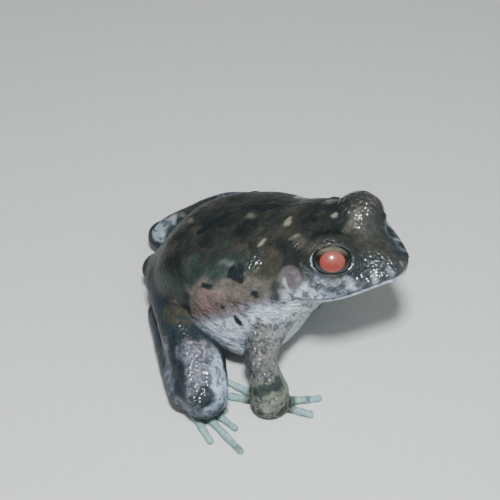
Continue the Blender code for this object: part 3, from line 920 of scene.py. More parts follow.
LIP_MARKS = [
    ("lip_white", 0.5, 0.40, on_head((-4.2, 9.4, 0.5), (-4.3, 9.3, -0.4))),
    ("lip_white", 0.30, 0.34, on_head((-2.6, 11.1, 0.9), (-2.5, 11.4, 0.2))),
    ("lip_white", 0.50, 0.34, on_head((-7.0, 6.5, 2.0), (-6.3, 6.6, 0.7), (-5.9, 6.8, -0.7))),
    ("lip_white", 0.45, 0.34, on_head((-6.8, 6.0, -0.2), (-6.2, 6.9, 0.2))),
    (
        "lip_white", 0.80, 0.75,
        on_head((-8.0, 2.8, -0.3), (-8.3, 1.6, -0.4), (-8.5, 0.7, 0.1), (-8.8, -0.1, -1.2)),
    ),
    ("lip_white", 0.80, 0.40, on_head((-7.9, 3.8, -0.9), (-7.3, 5.2, -0.8))),
    ("lip_white", 0.60, 0.35, on_head((-8.6, 3.2, 2.2), (-8.5, 4.3, 1.8), (-7.9, 5.3, 1.2))),
    ("leg_dark", 0.80, 0.50, on_head((-6.0, 7.4, 0.1), (-5.3, 7.6, 1.0))),
    ("leg_dark", 0.80, 0.50, on_head((-5.0, 8.5, 0.3), (-5.2, 8.2, -0.4))),
    ("leg_dark", 0.80, 0.50, on_head((-3.4, 10.2, -0.2), (-3.1, 10.6, 0.6))),
    ("leg_dark", 0.55, 0.40, on_head((-7.6, 5.2, 0.3), (-8.2, 4.2, 0.6))),
    ("leg_dark", 0.75, 0.60, on_head((-9.3, -3.5, 0.4), (-9.6, -4.1, -0.7), (-9.7, -4.1, -1.8))),
]
for pigment, strength, radius, path in LIP_MARKS:
    for line in (path, mirrored(path)):
        lay(pigment, strength * stroke(line, radius, 0.28))
lay("ear", 0.9 * fade(-ear_gap, -0.4, 0.6))
lay("lilac", 0.6 * fade(-ear_gap, 0.2, 1.2) * fade(head_along, -1.4, 0.4))
lay("soot", 0.85 * np.exp(-(((ear_gap - 0.05) / 0.22) ** 2)) * fade(head_rise, 1.6, 2.8))
for line_on in (list, mirrored):
    lay("leg_dark", 0.95 * stroke(line_on(EAR_FRONT), 0.62, 0.35))
    lay("belly_white", 0.85 * stroke(line_on(EAR_CORD), 0.10, 0.25))
below_mouth = on_jaws * fade(-mouth_gap, 0.0, 0.25)
lay("lip_white", below_mouth * trunk)
lay("throat", trunk * fade(ahead, 20, 23) * fade(20.8 + 0.25 * (ahead - 25) - high, 0.0, 1.6))
# Painted shade: a dark line in the groove of the mouth.
lay("soot", 0.55 * on_jaws * np.exp(-((mouth_gap / 0.16) ** 2)))
print("head painted")

# %% [markdown]
# The limbs are barred: the near leg has a dark band at the hip, a pale one after it, a dark middle and
# a bluish front, and the arm is pale at the shoulder and olive brown with dark marks below. The dark
# band at the hip is painted shade, in the crease under the fold of the groin, and a pale line along the
# edge of that fold is a painted highlight. The white patch on each shoulder is a painted highlight too.
# Hands and toes are pale.

# %% Limbs
leg, foot, arm, hand = (shares[kind] for kind in ("leg", "foot", "arm", "hand"))
lay("leg_dark", leg)
lay("leg_lilac", foot)
lay("arm_brown", arm * (1 - fade(high, 13.5, 16.0)))
lay("arm_olive", arm * (1 - fade(high, 5.0, 8.0)))
lay("arm_grey", arm * fade(high, 11.0, 14.5))
UPPER_ARM = on_body((-10.4, 20.4, 14.6), (-11.6, 20.4, 12.4))
# The white patch on each shoulder is a painted highlight, laid in belly white.
SHOULDER_HIGHLIGHT = on_body((-8.6, 22.4, 17.2), (-9.6, 21.8, 17.1), (-10.6, 20.4, 16.6))
for line_on in (list, mirrored):
    lay("arm_brown", 0.8 * stroke(line_on(UPPER_ARM), 1.7, 0.9))
    lay("belly_white", 0.9 * stroke(line_on(SHOULDER_HIGHLIGHT), 0.8, 0.6))
from_wrist = np.full(len(skin_points), 9.0)
for side_name in (LEFT, RIGHT):
    wrist = on_side(WRIST[side_name], side_name)
    from_wrist = np.minimum(from_wrist, np.hypot(*(skin_points - wrist)[:, :2].T))
lay("hand", hand * fade(from_wrist, 3.2, 4.4))
lay("hand", foot * (1 - fade(high, 1.2, 2.2)) * 0.8)
NEAR_LEG = [
    ("olive", 0.8, 1.3, on_body((-11.6, 5.4, 11.5), (-12.2, 7.4, 11.8), (-11.5, 8.7, 11.8))),
    ("leg_lilac", 0.9, 1.5, on_body((-14.6, 5.9, 7.6), (-16.0, 7.2, 7.0), (-17.4, 8.2, 6.2))),
    ("leg_lilac", 0.6, 1.2, on_body((-18.1, 8.1, 5.5), (-20.2, 10.2, 5.3))),
    (
        "leg_lilac", 0.85, 1.8,
        on_body((-15.9, 11.1, 10.3), (-17.4, 12.8, 9.5), (-18.3, 14.1, 8.9), (-19.9, 13.6, 8.1)),
    ),
    ("lilac", 0.5, 1.4, on_body((-15.0, 10.4, 10.5), (-14.2, 13.0, 10.3), (-13.9, 14.2, 9.5))),
    (
        "leg_dark", 0.9, 1.0,
        on_body((-17.2, 9.2, 8.4), (-18.4, 10.6, 8.1), (-19.5, 11.8, 7.4), (-20.2, 12.4, 7.1)),
    ),
    ("leg_dark", 0.5, 0.5, on_body((-15.6, 9.4, 10.2), (-16.6, 10.9, 9.9))),
    (
        "leg_blue", 0.9, 1.4,
        on_body((-14.6, 14.6, 9.4), (-15.7, 15.6, 8.8), (-17.0, 17.0, 7.6), (-18.6, 17.4, 7.4)),
    ),
    ("leg_blue", 0.7, 1.2, on_body((-16.0, 17.4, 6.0), (-17.6, 18.2, 5.0))),
    (
        "leg_lilac", 0.75, 0.9,
        on_body((-21.4, 12.0, 4.8), (-22.0, 14.4, 4.8), (-21.9, 16.0, 5.0), (-20.9, 17.5, 5.2)),
    ),
    ("leg_blue", 0.6, 0.4, on_body((-22.0, 16.4, 5.4), (-20.9, 17.7, 5.9), (-19.1, 18.3, 6.4))),
    # painted shade: the dark band in the crease under the groin fold
    ("leg_dark", 0.95, 1.1, on_body((-14.3, 5.9, 9.4), (-14.4, 8.6, 10.9), (-13.6, 10.4, 11.1))),
    ("lilac", 0.9, 1.0, on_body((-13.7, 12.6, 10.4), (-13.4, 14.0, 9.8))),
    (
        "leg_dark", 0.9, 0.75,
        on_body((-21.0, 12.7, 6.3), (-21.6, 14.6, 6.6), (-21.1, 15.6, 7.2), (-19.7, 16.9, 7.6)),
    ),
    ("leg_dark", 0.35, 0.4, on_body((-14.8, 14.0, 9.8), (-16.4, 15.2, 9.1), (-17.4, 16.0, 8.6))),
    ("lilac", 0.85, 0.9, on_body((-15.2, 6.6, 8.2), (-16.2, 7.2, 6.6), (-17.2, 8.2, 6.8))),
    # painted highlight: a pale line along the edge of the groin fold
    ("bone", 0.6, 0.28, on_body((-10.7, 6.1, 13.4), (-11.1, 7.5, 12.6), (-11.5, 8.7, 12.2))),
]
ARM_MARKS = [
    (
        "moss", 0.95, 0.95,
        on_body((-12.3, 23.6, 7.2), (-12.9, 23.9, 6.2), (-13.9, 23.3, 5.9), (-14.6, 22.3, 5.8)),
    ),
    ("leg_dark", 0.5, 0.55, on_body((-11.3, 19.8, 13.5), (-12.0, 19.4, 12.1))),
    ("leg_dark", 0.6, 0.6, on_body((-13.3, 19.5, 10.4), (-13.6, 19.7, 8.8))),
    ("leg_dark", 0.5, 0.5, on_body((-13.6, 21.2, 8.5), (-13.7, 21.8, 7.8))),
    ("leg_dark", 0.7, 0.4, on_body((-12.6, 24.2, 5.6), (-13.0, 24.3, 4.8))),
    ("leg_dark", 0.6, 0.6, on_body((-13.4, 19.0, 11.0), (-13.3, 19.0, 10.0))),
    ("leg_dark", 0.5, 0.35, on_body((-12.4, 20.2, 12.4), (-12.9, 20.6, 11.6))),
    ("leg_dark", 0.45, 0.35, on_body((-13.5, 21.2, 8.8), (-13.4, 22.2, 8.2))),
    ("bone", 0.45, 0.8, on_body((-14.2, 22.6, 2.8), (-13.8, 24.0, 3.6))),
]
LIMB_MARKS = NEAR_LEG + ARM_MARKS
for pigment, strength, radius, path in LIMB_MARKS:
    for line in (path, mirrored(path)):
        lay(pigment, strength * stroke(line, radius, 0.45))
FAR_LEG = [
    ("leg_lilac", 0.8, 1.3, on_body((14.6, 5.8, 11.4), (16.6, 6.8, 10.2))),
    ("leg_lilac", 0.8, 1.4, on_body((21.4, 4.8, 8.6), (20.6, 7.6, 8.0))),
    ("leg_blue", 0.7, 1.0, on_body((18.4, 9.2, 5.6), (20.6, 8.8, 4.6))),
    ("leg_lilac", 0.7, 1.2, on_body((18.8, 0.4, 9.4), (17.2, -0.8, 9.4))),
    ("brown", 0.8, 1.4, on_body((12.8, -6.1, 7.9), (15.0, -3.0, 8.6))),
    ("pale_grey", 0.95, 1.3, on_body((7.2, -7.9, 5.6), (8.9, -8.0, 6.4), (10.2, -6.8, 7.2))),
    ("bone", 0.5, 0.8, on_body((10.6, -6.6, 7.3), (11.2, -6.0, 7.6))),
    ("leg_dark", 0.95, 0.9, on_body((6.6, -9.4, 3.8), (8.6, -10.2, 4.4))),
    ("leg_dark", 0.9, 0.8, on_body((9.0, -5.0, 6.6), (7.4, -5.6, 5.6))),
]
for pigment, strength, radius, path in FAR_LEG:
    lay(pigment, strength * stroke(path, radius, 0.45))
print("limbs painted")

# %% [markdown]
# Black spots with a crisp edge lie along the flank, and a few cream flecks on the back. The far side
# has spots of the same kinds, moved a little, because the two sides of a frog are alike but never the
# same. Only the distance to their edge is kept.

# %% Spots and flecks
BLACK_SPOTS = [
    (0.80, on_body((-9.4, 14.7, 22.2), (-9.7, 16.2, 22.1))),
    (0.60, on_body((-8.8, 15.7, 22.9))),
    (0.42, on_body((-11.3, 10.8, 19.6), (-11.0, 12.2, 19.6))),
    (0.68, on_body((-10.3, 18.8, 20.6))),
    (0.40, on_body((-11.9, 14.4, 17.0))),
    (0.48, on_body((-11.6, 16.5, 15.9), (-11.4, 16.9, 14.6))),
    (0.62, on_body((-11.2, 8.4, 16.6), (-11.9, 8.4, 13.9))),
    (0.42, on_body((-10.6, 5.2, 13.8), (-10.2, 5.0, 14.6))),
    (0.30, on_body((-12.0, 13.7, 13.4))),
    (0.70, on_body((-2.8, 6.0, 20.6), (-0.6, 6.6, 21.2), (1.4, 8.2, 22.0))),
    (0.60, on_body((2.4, 13.6, 24.2), (3.4, 15.4, 24.8))),
]
CREAM_FLECKS = [
    (0.56, on_body((-0.6, 18.9, 26.9), (-1.4, 19.3, 27.1))),
    (0.44, on_body((-5.1, 16.9, 25.0), (-4.6, 17.3, 25.3))),
    (0.34, on_body((1.3, 25.1, 28.5), (1.6, 25.4, 28.5))),
    (0.22, on_body((4.3, 22.5, 27.8), (4.1, 23.1, 27.9))),
    (0.20, on_body((5.6, 18.3, 25.3), (6.1, 18.5, 25.2))),
    (0.16, on_head((-0.3, 12.5, 1.0), (-0.6, 12.7, 0.6))),
]
aside = spot(0.0, 1.1, 0.3)
black_gap = np.full(len(skin_points), 9.0)
for radius, path in BLACK_SPOTS:
    black_gap = np.minimum(black_gap, gap_to(nudged, path, radius))
    if path[0][0] < -7:
        far_path = [place + aside for place in mirrored(path)]
        black_gap = np.minimum(black_gap, gap_to(nudged, far_path, radius * 0.9))
cream_gap = np.full(len(skin_points), 9.0)
for radius, path in CREAM_FLECKS:
    cream_gap = np.minimum(cream_gap, gap_to(nudged, path, radius))
print("points in black and in cream:", int((black_gap < 0).sum()), int((cream_gap < 0).sum()))

# %% [markdown]
# The eyelids, the lores, the lip below the eye, the upper arm and the knee are beaded with glands, the
# back has only low ones, the throat and the hands are smooth and the belly is finely wrinkled. A thin
# pale line edges the lids behind and below the eye.

# %% Texture of the skin by place
granular = 0.15 + 0.10 * (1 - fade(drop, 5.0, 9.0)) * trunk + 0.08 * leg + 0.15 * arm
BEADS = [
    (
        0.65, 1.3,
        on_head((-5.3, 7.2, 2.0), (-4.0, 7.8, 2.5), (-2.8, 8.4, 2.4), (-1.7, 9.4, 2.1), (-1.8, 10.4, 1.3)),
    ),
    (0.65, 1.2, on_head((-5.3, 8.0, 0.7), (-4.0, 8.8, 1.0), (-3.0, 9.9, 1.1), (-2.4, 10.8, 0.8))),
    (
        0.9, 0.9,
        on_head((-8.5, 3.1, 1.8), (-8.6, 4.1, 1.7), (-8.3, 5.1, 1.7), (-7.7, 6.0, 1.6), (-7.0, 6.6, 1.4)),
    ),
    (0.9, 0.9, on_head((-7.8, 0.6, 2.9), (-8.2, 1.8, 2.5), (-8.2, 1.1, 1.9))),
    (1.0, 0.7, on_head((-9.0, -2.3, 1.1), (-9.1, -1.9, 0.1), (-9.2, -1.4, -0.8))),
    (1.2, 1.1, on_head((-5.7, 2.4, 6.1), (-5.1, 3.3, 6.4), (-5.1, 4.3, 6.4), (-4.7, 5.3, 5.9))),
    (0.9, 0.8, on_head((-4.9, -1.5, 4.6), (-5.3, -1.1, 4.5))),
    (1.3, 1.0, on_body((-6.9, 16.9, 24.0), (-7.6, 17.6, 23.6))),
    (0.7, 1.9, on_body((-15.7, 11.6, 10.2), (-17.2, 13.2, 9.5), (-19.3, 14.2, 8.5), (-21.0, 14.8, 7.3))),
    (0.6, 1.0, on_body((-13.4, 8.4, 11.3), (-14.3, 9.3, 10.9))),
    (1.1, 2.0, on_body((-10.9, 20.3, 14.4), (-11.9, 20.8, 12.5), (-12.8, 21.3, 10.4), (-13.5, 21.7, 8.1))),
    (0.9, 0.9, on_body((-9.1, 22.6, 17.0), (-9.5, 21.6, 18.0))),
]
beaded = np.zeros(len(skin_points))
for steep, radius, path in BEADS:
    beaded = np.maximum(beaded, steep * fade(-gap_to(drift, path, radius), -0.6, 0.8))
    beaded = np.maximum(beaded, 0.6 * steep * fade(-gap_to(drift, mirrored(path), radius), -0.6, 0.8))
from_far_lid = np.linalg.norm(skin_points - head_spot(4.6, 3.8, 5.6), axis=1)
beaded = np.maximum(beaded, 0.65 * fade(3.1 - from_far_lid, -0.6, 0.8))
granular = np.maximum(granular, beaded)
granular *= 1 - 0.75 * below_mouth
granular *= 1 - 0.8 * fade(-ear_gap, -0.2, 0.2)
granular *= 1 - 0.5 * hand - 0.4 * foot
blotched = 0.12 * trunk + 0.7 * leg + 0.8 * arm + 0.65 * cheek * (1 - below_mouth)
blotched += 0.6 * trunk * stroke(UPPER_ARM, 2.0, 1.0)
blotched *= 1 - 0.9 * fade(-ear_gap, -0.2, 0.2)
wrinkled = trunk * fade(drop, 5.5, 9.0) * (1 - fade(ahead, 24, 28))
wrinkled = wrinkled * (1 - 0.6 * fade(-high, -11, -7)) * (0.25 + 0.75 * flank_ahead)
wrinkled += 0.4 * trunk * fade(drop, 3.5, 6.0) * flank_ahead
netted = (arm + hand) * (1 - fade(high, 3.8, 5.2)) * (1 - fade(from_wrist, 3.0, 4.2))
lid_gap = np.full(len(skin_points), 9.0)
for centre, axis, turn, opening in eyes.values():
    local = (skin_points - opening) @ turn.T
    gauge = np.linalg.norm(local / np.array(OPENING), axis=1)
    steep = np.linalg.norm(local / np.array(OPENING) ** 2, axis=1)
    reach = np.linalg.norm(skin_points - centre, axis=1)
    lid_gap = np.minimum(lid_gap, np.where(reach < LID_RADIUS + 1.2, gauge * (gauge - 1) / steep, 9.0))
# Painted shade: a dark ring in the crease where the lids fold into each eye opening.
lay("leg_dark", 0.75 * fade(-lid_gap, -0.25, 0.05))
lid_corner = 0.05 + 0.95 * fade(EYE_SPOT[1] - head_along, 0.3, 1.6)
lid_pale = lid_corner * fade(5.2 - head_rise, -0.6, 0.6) * np.where(side > 0, 0.3, 1.0)
print("lid points:", int((lid_gap < 0.2).sum()))

# %% [markdown]
# The skin becomes one mesh with its colours and distances stored on its points. The material reads
# them, so the markings stay with the frog in any view.

# %% The skin as a mesh
def mesh_piece(name, points, faces):
    mesh = bpy.data.meshes.new(name)
    mesh.vertices.add(len(points))
    mesh.vertices.foreach_set("co", ((points + SHIFT) * MM).ravel())
    mesh.loops.add(faces.size)
    mesh.loops.foreach_set("vertex_index", faces.ravel())
    mesh.polygons.add(len(faces))
    mesh.polygons.foreach_set("loop_start", np.arange(len(faces)) * faces.shape[1])
    mesh.update(calc_edges=True)
    mesh.shade_smooth()
    obj = bpy.data.objects.new(name, mesh)
    bpy.context.scene.collection.objects.link(obj)
    return obj


def store(mesh, name, values):
    """Keep a number, or a colour, on each point of a mesh."""
    kind, field, width = ("FLOAT", "value", 1) if values.ndim == 1 else ("FLOAT_COLOR", "color", 4)
    if width == 4:
        values = np.hstack([values, np.ones((len(values), 1))])
    mesh.attributes.new(name, kind, "POINT").data.foreach_set(field, values.astype(np.float32).ravel())


skin = mesh_piece("skin", skin_shape, faces)
by_point = {"ground": ground, "lid_pale": lid_pale, "granular": granular}
by_point |= {"netted": netted.clip(0, 1), "wrinkled": wrinkled.clip(0, 1), "blotched": blotched.clip(0, 1)}
for name, gap in (("black_gap", black_gap), ("cream_gap", cream_gap), ("lid_gap", lid_gap)):
    by_point[name] = gap.clip(-1, 1.5)
for name, values in by_point.items():
    store(skin.data, name, values)
print("skin attributes:", [a.name for a in skin.data.attributes])

# %% [markdown]
# Frog skin is a thin, soft, living skin, and it is always wet: a film of water and mucus lies over its
# small glands. The film gives a clear coat with sharp white glints over a soft sheen from the skin
# itself, IOR 1.4. Water has an IOR of 1.33, but the coat is set to 1.7, because the lamp is dimmer
# than a real flash. On such a frog the glands are about 0.4 mm across. At 0.15 mm to a pixel their
# glints would run together, so they are drawn 0.6 mm apart, and the finest folds, which are under
# 0.1 mm, are drawn about 1 mm apart.

# %% One helper for nodes
def node(tree, kind, inputs=None, **settings):
    """Add a node, with its settings, its plain input values and its links."""
    made = tree.nodes.new("ShaderNode" + kind)
    for name, value in settings.items():
        setattr(made, name, value)
    for name, value in (inputs or {}).items():
        if isinstance(value, bpy.types.NodeSocket):
            tree.links.new(value, made.inputs[name])
        else:
            made.inputs[name].default_value = value
    return made


def new_material(name):
    material = bpy.data.materials.new(name)
    material.use_nodes = True
    return material, material.node_tree, material.node_tree.nodes["Principled BSDF"]


def set_shader(tree, shader, values):
    for name, value in values.items():
        if isinstance(value, bpy.types.NodeSocket):
            tree.links.new(value, shader.inputs[name])
        else:
            shader.inputs[name].default_value = value


def opaque(hex_code):
    return (*linear(hex_code), 1)


PER_MM = 1000.0
wet_skin, tree, shader = new_material("wet_frog_skin")
place = node(tree, "TexCoord").outputs["Object"]
stored = {
    name: node(tree, "Attribute", attribute_name=name).outputs["Color" if name == "ground" else "Fac"]
    for name in by_point
}

# %% [markdown]
# Pigment cells are never spread evenly, so the colour is made darker and lighter by three noises: one
# of patches 2.6 mm across, one of 0.75 mm and one of fine specks. The middle one also makes the edges
# of the spots ragged, because it is added to the distance before the mark is cut out.

# %% Mottling and the edges of the marks
cells = node(
    tree, "TexNoise", {"Vector": place, "Scale": PER_MM / 0.75, "Detail": 4.0, "Roughness": 0.65}
).outputs["Fac"]
patches = node(
    tree, "TexNoise", {"Vector": place, "Scale": PER_MM / 2.6, "Detail": 3.0, "Roughness": 0.6}
).outputs["Fac"]
specks = node(tree, "TexNoise", {"Vector": place, "Scale": PER_MM / 0.32, "Detail": 2.0}).outputs["Fac"]
shade_cells = node(tree, "MapRange", {"Value": cells, 1: 0.3, 2: 0.7, 3: 0.72, 4: 1.30}).outputs[0]
shade_patches = node(tree, "MapRange", {"Value": patches, 1: 0.3, 2: 0.7, 3: 0.8, 4: 1.22}).outputs[0]
shade_specks = node(tree, "MapRange", {"Value": specks, 1: 0.3, 2: 0.7, 3: 0.86, 4: 1.15}).outputs[0]
shade = node(tree, "Math", {0: shade_cells, 1: shade_patches}, operation="MULTIPLY").outputs[0]
shade = node(tree, "Math", {0: shade, 1: shade_specks}, operation="MULTIPLY").outputs[0]
mottled = node(tree, "VectorMath", {0: stored["ground"], "Scale": shade}, operation="SCALE").outputs[0]
ragged = node(tree, "MapRange", {"Value": cells, 1: 0.3, 2: 0.7, 3: -0.22, 4: 0.22}).outputs[0]


def inside(gap, soft):
    edge = node(tree, "Math", {0: gap, 1: ragged}, operation="ADD").outputs[0]
    return node(
        tree,
        "MapRange",
        {"Value": edge, 1: soft, 2: -soft, 3: 0.0, 4: 1.0},
        interpolation_type="SMOOTHSTEP",
    ).outputs[0]


# %% [markdown]
# Folds of loose skin run along the flank. They are drawn as thin lines where a stretched noise passes
# its middle value. Glands are small round domes, so they come from the distance to the middle of a
# Voronoi cell, squared.

# %% Wrinkles and granules
slanted = node(
    tree,
    "Mapping",
    {"Vector": place, "Rotation": (0.45, 0, 0), "Scale": (1.0, 3.0, 1.0)},
    vector_type="TEXTURE",
).outputs[0]
folds = node(
    tree, "TexNoise", {"Vector": slanted, "Scale": PER_MM / 1.5, "Detail": 2.0, "Distortion": 0.5}
).outputs["Fac"]
crease = node(tree, "Math", {0: folds, 1: 0.5}, operation="SUBTRACT").outputs[0]
crease = node(tree, "Math", {0: crease}, operation="ABSOLUTE").outputs[0]
crease = node(
    tree, "MapRange", {"Value": crease, 1: 0.0, 2: 0.04, 3: 1.0, 4: 0.0}, interpolation_type="SMOOTHSTEP"
).outputs[0]
crease = node(tree, "Math", {0: crease, 1: stored["wrinkled"]}, operation="MULTIPLY").outputs[0]
gland = node(
    tree,
    "TexVoronoi",
    {"Vector": place, "Scale": PER_MM / 0.6, "Smoothness": 0.3, "Randomness": 1.0},
    feature="SMOOTH_F1",
).outputs["Distance"]
gland = node(tree, "Math", {0: gland, 1: 2.0}, operation="POWER").outputs[0]
gland = node(tree, "MapRange", {"Value": gland, 1: 0.0, 2: 0.42, 3: 1.0, 4: 0.0}).outputs[0]
gland = node(tree, "Math", {0: gland, 1: stored["granular"]}, operation="MULTIPLY").outputs[0]

# %% [markdown]
# Over the ground colour lie dark blotches on the limbs and the lip, a pale net on the wrists, painted
# shade in the creases and painted light and shade on the glands, lighter on the top of each and darker
# in the hollows between, then the black spots, the cream flecks and the pale edge of the lids.

# %% Colour of the skin
blotch = node(
    tree, "TexNoise", {"Vector": place, "Scale": PER_MM / 1.1, "Detail": 5.0, "Roughness": 0.66}
).outputs["Fac"]
blotch = node(
    tree, "MapRange", {"Value": blotch, 1: 0.49, 2: 0.56}, interpolation_type="SMOOTHSTEP"
).outputs[0]
blotch = node(tree, "Math", {0: blotch, 1: stored["blotched"]}, operation="MULTIPLY").outputs[0]
mottled = node(tree, "Mix", {0: blotch, 6: mottled, 7: opaque("2a3035")}, data_type="RGBA").outputs[2]
net = node(
    tree, "TexNoise", {"Vector": place, "Scale": PER_MM / 1.7, "Detail": 3.0, "Distortion": 0.4}
).outputs["Fac"]
net = node(tree, "Math", {0: net, 1: 0.5}, operation="SUBTRACT").outputs[0]
net = node(tree, "Math", {0: net}, operation="ABSOLUTE").outputs[0]
net = node(tree, "MapRange", {"Value": net, 1: 0.0, 2: 0.06, 3: 0.5, 4: 0.0}).outputs[0]
net = node(tree, "Math", {0: net, 1: stored["netted"]}, operation="MULTIPLY").outputs[0]
mottled = node(tree, "Mix", {0: net, 6: mottled, 7: opaque("858981")}, data_type="RGBA").outputs[2]
# Painted shade in the creases, and painted light and shade on the glands: lighter on each top, darker between.
creased = node(tree, "MapRange", {"Value": crease, 1: 0.0, 2: 1.0, 3: 1.0, 4: 0.42}).outputs[0]
gland_light_and_shade = node(tree, "MapRange", {"Value": gland, 1: 0.0, 2: 1.0, 3: 0.88, 4: 1.22}).outputs[0]
relief_light_and_shade = node(tree, "Math", {0: creased, 1: gland_light_and_shade}, operation="MULTIPLY").outputs[0]
colour = node(tree, "VectorMath", {0: mottled, "Scale": relief_light_and_shade}, operation="SCALE").outputs[0]
black = opaque("191e21")
cream = opaque("85816f")
colour = node(
    tree, "Mix", {0: inside(stored["black_gap"], 0.22), 6: colour, 7: black}, data_type="RGBA"
).outputs[2]
cream_part = node(tree, "MapRange", {"Value": specks, 1: 0.35, 2: 0.6, 3: 0.55, 4: 1.0}).outputs[0]
cream_part = node(
    tree, "Math", {0: cream_part, 1: inside(stored["cream_gap"], 0.28)}, operation="MULTIPLY"
).outputs[0]
colour = node(tree, "Mix", {0: cream_part, 6: colour, 7: cream}, data_type="RGBA").outputs[2]
lid_edge = node(tree, "Math", {0: stored["lid_gap"], 1: 0.08}, operation="SUBTRACT").outputs[0]
lid_edge = node(tree, "Math", {0: lid_edge}, operation="ABSOLUTE").outputs[0]
lid_edge = node(tree, "MapRange", {"Value": lid_edge, 1: 0.0, 2: 0.055, 3: 0.55, 4: 0.0}).outputs[0]
lid_edge = node(tree, "Math", {0: lid_edge, 1: stored["lid_pale"]}, operation="MULTIPLY").outputs[0]
colour = node(tree, "Mix", {0: lid_edge, 6: colour, 7: opaque("adb8c4")}, data_type="RGBA").outputs[2]

# %% [markdown]
# The glands are 0.15 to 0.25 mm high where they are thickest, and the creases 0.05 mm deep. The film
# of water is thick over the glands and nearly gone on smooth skin, which is why only they sparkle.

# %% Relief and gloss
clumps = node(tree, "MapRange", {"Value": patches, 1: 0.35, 2: 0.65, 3: 0.15, 4: 0.25}).outputs[0]
height = node(tree, "Math", {0: gland, 1: clumps}, operation="MULTIPLY").outputs[0]
height = node(tree, "Math", {0: crease, 1: -0.05, 2: height}, operation="MULTIPLY_ADD").outputs[0]
relief = node(tree, "Bump", {"Strength": 1.0, "Distance": MM, "Height": height}).outputs[0]
film = node(tree, "MapRange", {"Value": stored["granular"], 1: 0.25, 2: 0.55, 3: 0.08, 4: 1.0}).outputs[0]
dampness = node(tree, "MapRange", {"Value": patches, 1: 0.3, 2: 0.7, 3: 0.36, 4: 0.52}).outputs[0]
set_shader(tree, shader, {
    "Base Color": colour,
    "Roughness": dampness,
    "IOR": 1.4,
    "Specular IOR Level": 0.12,
    "Normal": relief,
    "Coat Weight": film,
    "Coat Roughness": 0.08,
    "Coat IOR": 1.7,
    "Coat Normal": relief,
})
skin.data.materials.append(wet_skin)
print("skin material nodes:", len(tree.nodes))

# %% [markdown]
# The eye is a wet ball with a clear dome, the cornea, over an iris with a wide lying pupil. Both
# pupils are painted salmon red, a little lighter towards the top: a painted reflection of the lamp,
# which shines back from inside the near eye. One mesh does for the ball: its points are pushed out
# over the iris for the cornea, and each point keeps its place about the pupil.

# %% Eyeballs
PUPIL_AXIS = {LEFT: (0.86, 0.40, 0.30), RIGHT: (0.685, 0.467, 0.559)}
PUPIL_SIZE = (1.8, 1.42)
for side, name in ((LEFT, "eye_left"), (RIGHT, "eye_right")):
    centre = eyes[side][0]
    out_way, along_way, rise_way = PUPIL_AXIS[side]
    axis = head_line(out_way * side, along_way, rise_way)
    turn = facing(axis, head_line(-EYE_LEVEL[0] * side, *EYE_LEVEL[1:]))
    bm = bmesh.new()
    bmesh.ops.create_uvsphere(bm, u_segments=96, v_segments=64, radius=1.0)
    eyeball = bpy.data.objects.new(name + "_ball", bpy.data.meshes.new(name + "_ball"))
    bm.transform(Matrix(turn.T.tolist()).to_4x4())
    bm.to_mesh(eyeball.data)
    bm.free()
    away = np.array([vertex.co[:] for vertex in eyeball.data.vertices])
    local = away @ turn.T
    angle = np.arccos(np.clip(local[:, 2], -1, 1))
    flat = local[:, :2] / np.maximum(np.linalg.norm(local[:, :2], axis=1), 1e-6)[:, None]
    across, up = EYE_RADIUS * angle * flat[:, 0], EYE_RADIUS * angle * flat[:, 1]
    reach = EYE_RADIUS + 0.10 * np.exp(-((angle / 0.6) ** 4))
    eyeball.data.vertices.foreach_set("co", ((centre + away * reach[:, None] + SHIFT) * MM).ravel())
    gauge = np.hypot(across / PUPIL_SIZE[0], up / PUPIL_SIZE[1])
    store(eyeball.data, "pupil_gauge", gauge)
    store(eyeball.data, "iris_up", up)
    store(eyeball.data, "iris_place", np.column_stack([flat[:, 0], flat[:, 1], gauge * 0.5]))
    eyeball.data.shade_smooth()
    bpy.context.scene.collection.objects.link(eyeball)
    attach(eyeball, "root")
    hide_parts(name)
print("eyes set at", eyes[RIGHT][0].round(2))

# %% [markdown]
# The surface is living cornea, wet with tears: clear, smooth as glass, IOR 1.376, so it gives a small
# hard highlight. Under it the iris is made of fine dark and golden fibres that run away from the
# pupil, lighter above, and dark at its rim. On the real eye they are about 0.05 mm, too fine to show,
# so they are drawn about 0.2 mm wide.

# %% Wet cornea over iris and pupil
wet_eye, tree, shader = new_material("wet_cornea_over_iris")
gauge = node(tree, "Attribute", attribute_name="pupil_gauge").outputs["Fac"]
up = node(tree, "Attribute", attribute_name="iris_up").outputs["Fac"]
iris_place = node(tree, "Attribute", attribute_name="iris_place").outputs["Color"]
fibres = node(
    tree, "TexNoise", {"Vector": iris_place, "Scale": 7.0, "Detail": 3.0, "Roughness": 0.7}
).outputs["Fac"]
fibre_shade = node(tree, "MapRange", {"Value": fibres, 1: 0.3, 2: 0.7, 3: 0.6, 4: 1.4}).outputs[0]
upper = node(tree, "MapRange", {"Value": up, 1: 0.6, 2: 1.8}, interpolation_type="SMOOTHSTEP").outputs[0]
gold, dusk = opaque("544f42"), opaque("1a1615")
iris = node(tree, "Mix", {0: upper, 6: dusk, 7: gold}, data_type="RGBA").outputs[2]
iris = node(tree, "VectorMath", {0: iris, "Scale": fibre_shade}, operation="SCALE").outputs[0]
rim = node(tree, "MapRange", {"Value": gauge, 1: 1.42, 2: 1.75}, interpolation_type="SMOOTHSTEP").outputs[0]
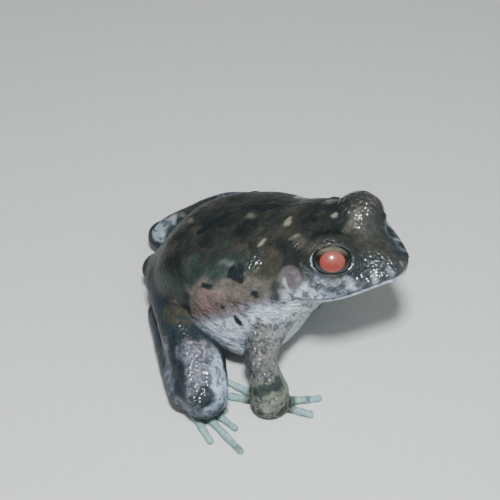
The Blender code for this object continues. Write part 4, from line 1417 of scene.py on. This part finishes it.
iris = node(tree, "Mix", {0: rim, 6: iris, 7: opaque("0e0d0e")}, data_type="RGBA").outputs[2]
# The pupil's salmon red, lighter towards the top, is a painted reflection of the lamp.
painted_eyeshine_fade = node(tree, "MapRange", {"Value": up, 1: -1.6, 2: 1.6}).outputs[0]
pupil = node(tree, "Mix", {0: painted_eyeshine_fade, 6: opaque("72322a"), 7: opaque("7e3f36")}, data_type="RGBA").outputs[2]
in_pupil = node(
    tree, "MapRange", {"Value": gauge, 1: 1.04, 2: 0.96}, interpolation_type="SMOOTHSTEP"
).outputs[0]
painted = node(tree, "Mix", {0: in_pupil, 6: iris, 7: pupil}, data_type="RGBA").outputs[2]
set_shader(tree, shader, {
    "Base Color": painted,
    "Roughness": 0.25,
    "IOR": 1.376,
    "Coat Weight": 1.0,
    "Coat Roughness": 0.03,
    "Coat IOR": 1.376,
})
for name in ("eye_left_ball", "eye_right_ball"):
    bpy.data.objects[name].data.materials.append(wet_eye)
print("eye material nodes:", len(tree.nodes))

# %% [markdown]
# The skin stands for all the flesh solids at once, and the two balls for the eyes. The floor is a
# sheet of pale rag paper: matt, with the soft, uneven tooth that a felt leaves in it.

# %% What each piece stands for
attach(skin, "root")
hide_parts(*[name for name in frame["nodes"] if not name.startswith("eye")])

# %% Paper floor
floor_mesh = bpy.data.meshes.new("studio_floor")
floor_mesh.from_pydata([(-2, -2, 0), (2, -2, 0), (2, 2, 0), (-2, 2, 0)], [], [(0, 1, 2, 3)])
studio_floor = bpy.data.objects.new("studio_floor", floor_mesh)
bpy.context.scene.collection.objects.link(studio_floor)
rag_paper, tree, shader = new_material("rag_paper")
place = node(tree, "TexCoord").outputs["Object"]
tooth = node(tree, "TexNoise", {"Vector": place, "Scale": PER_MM / 1.2, "Detail": 3.0}).outputs["Fac"]
pulp = node(tree, "Mix", {0: tooth, 6: opaque("bfc1be"), 7: opaque("cccecb")}, data_type="RGBA").outputs[2]
relief = node(tree, "Bump", {"Strength": 0.3, "Distance": 0.1 * MM, "Height": tooth}).outputs[0]
set_shader(tree, shader, {"Base Color": pulp, "Roughness": 0.85, "IOR": 1.5, "Normal": relief})
floor_mesh.materials.append(rag_paper)
print("floor laid")
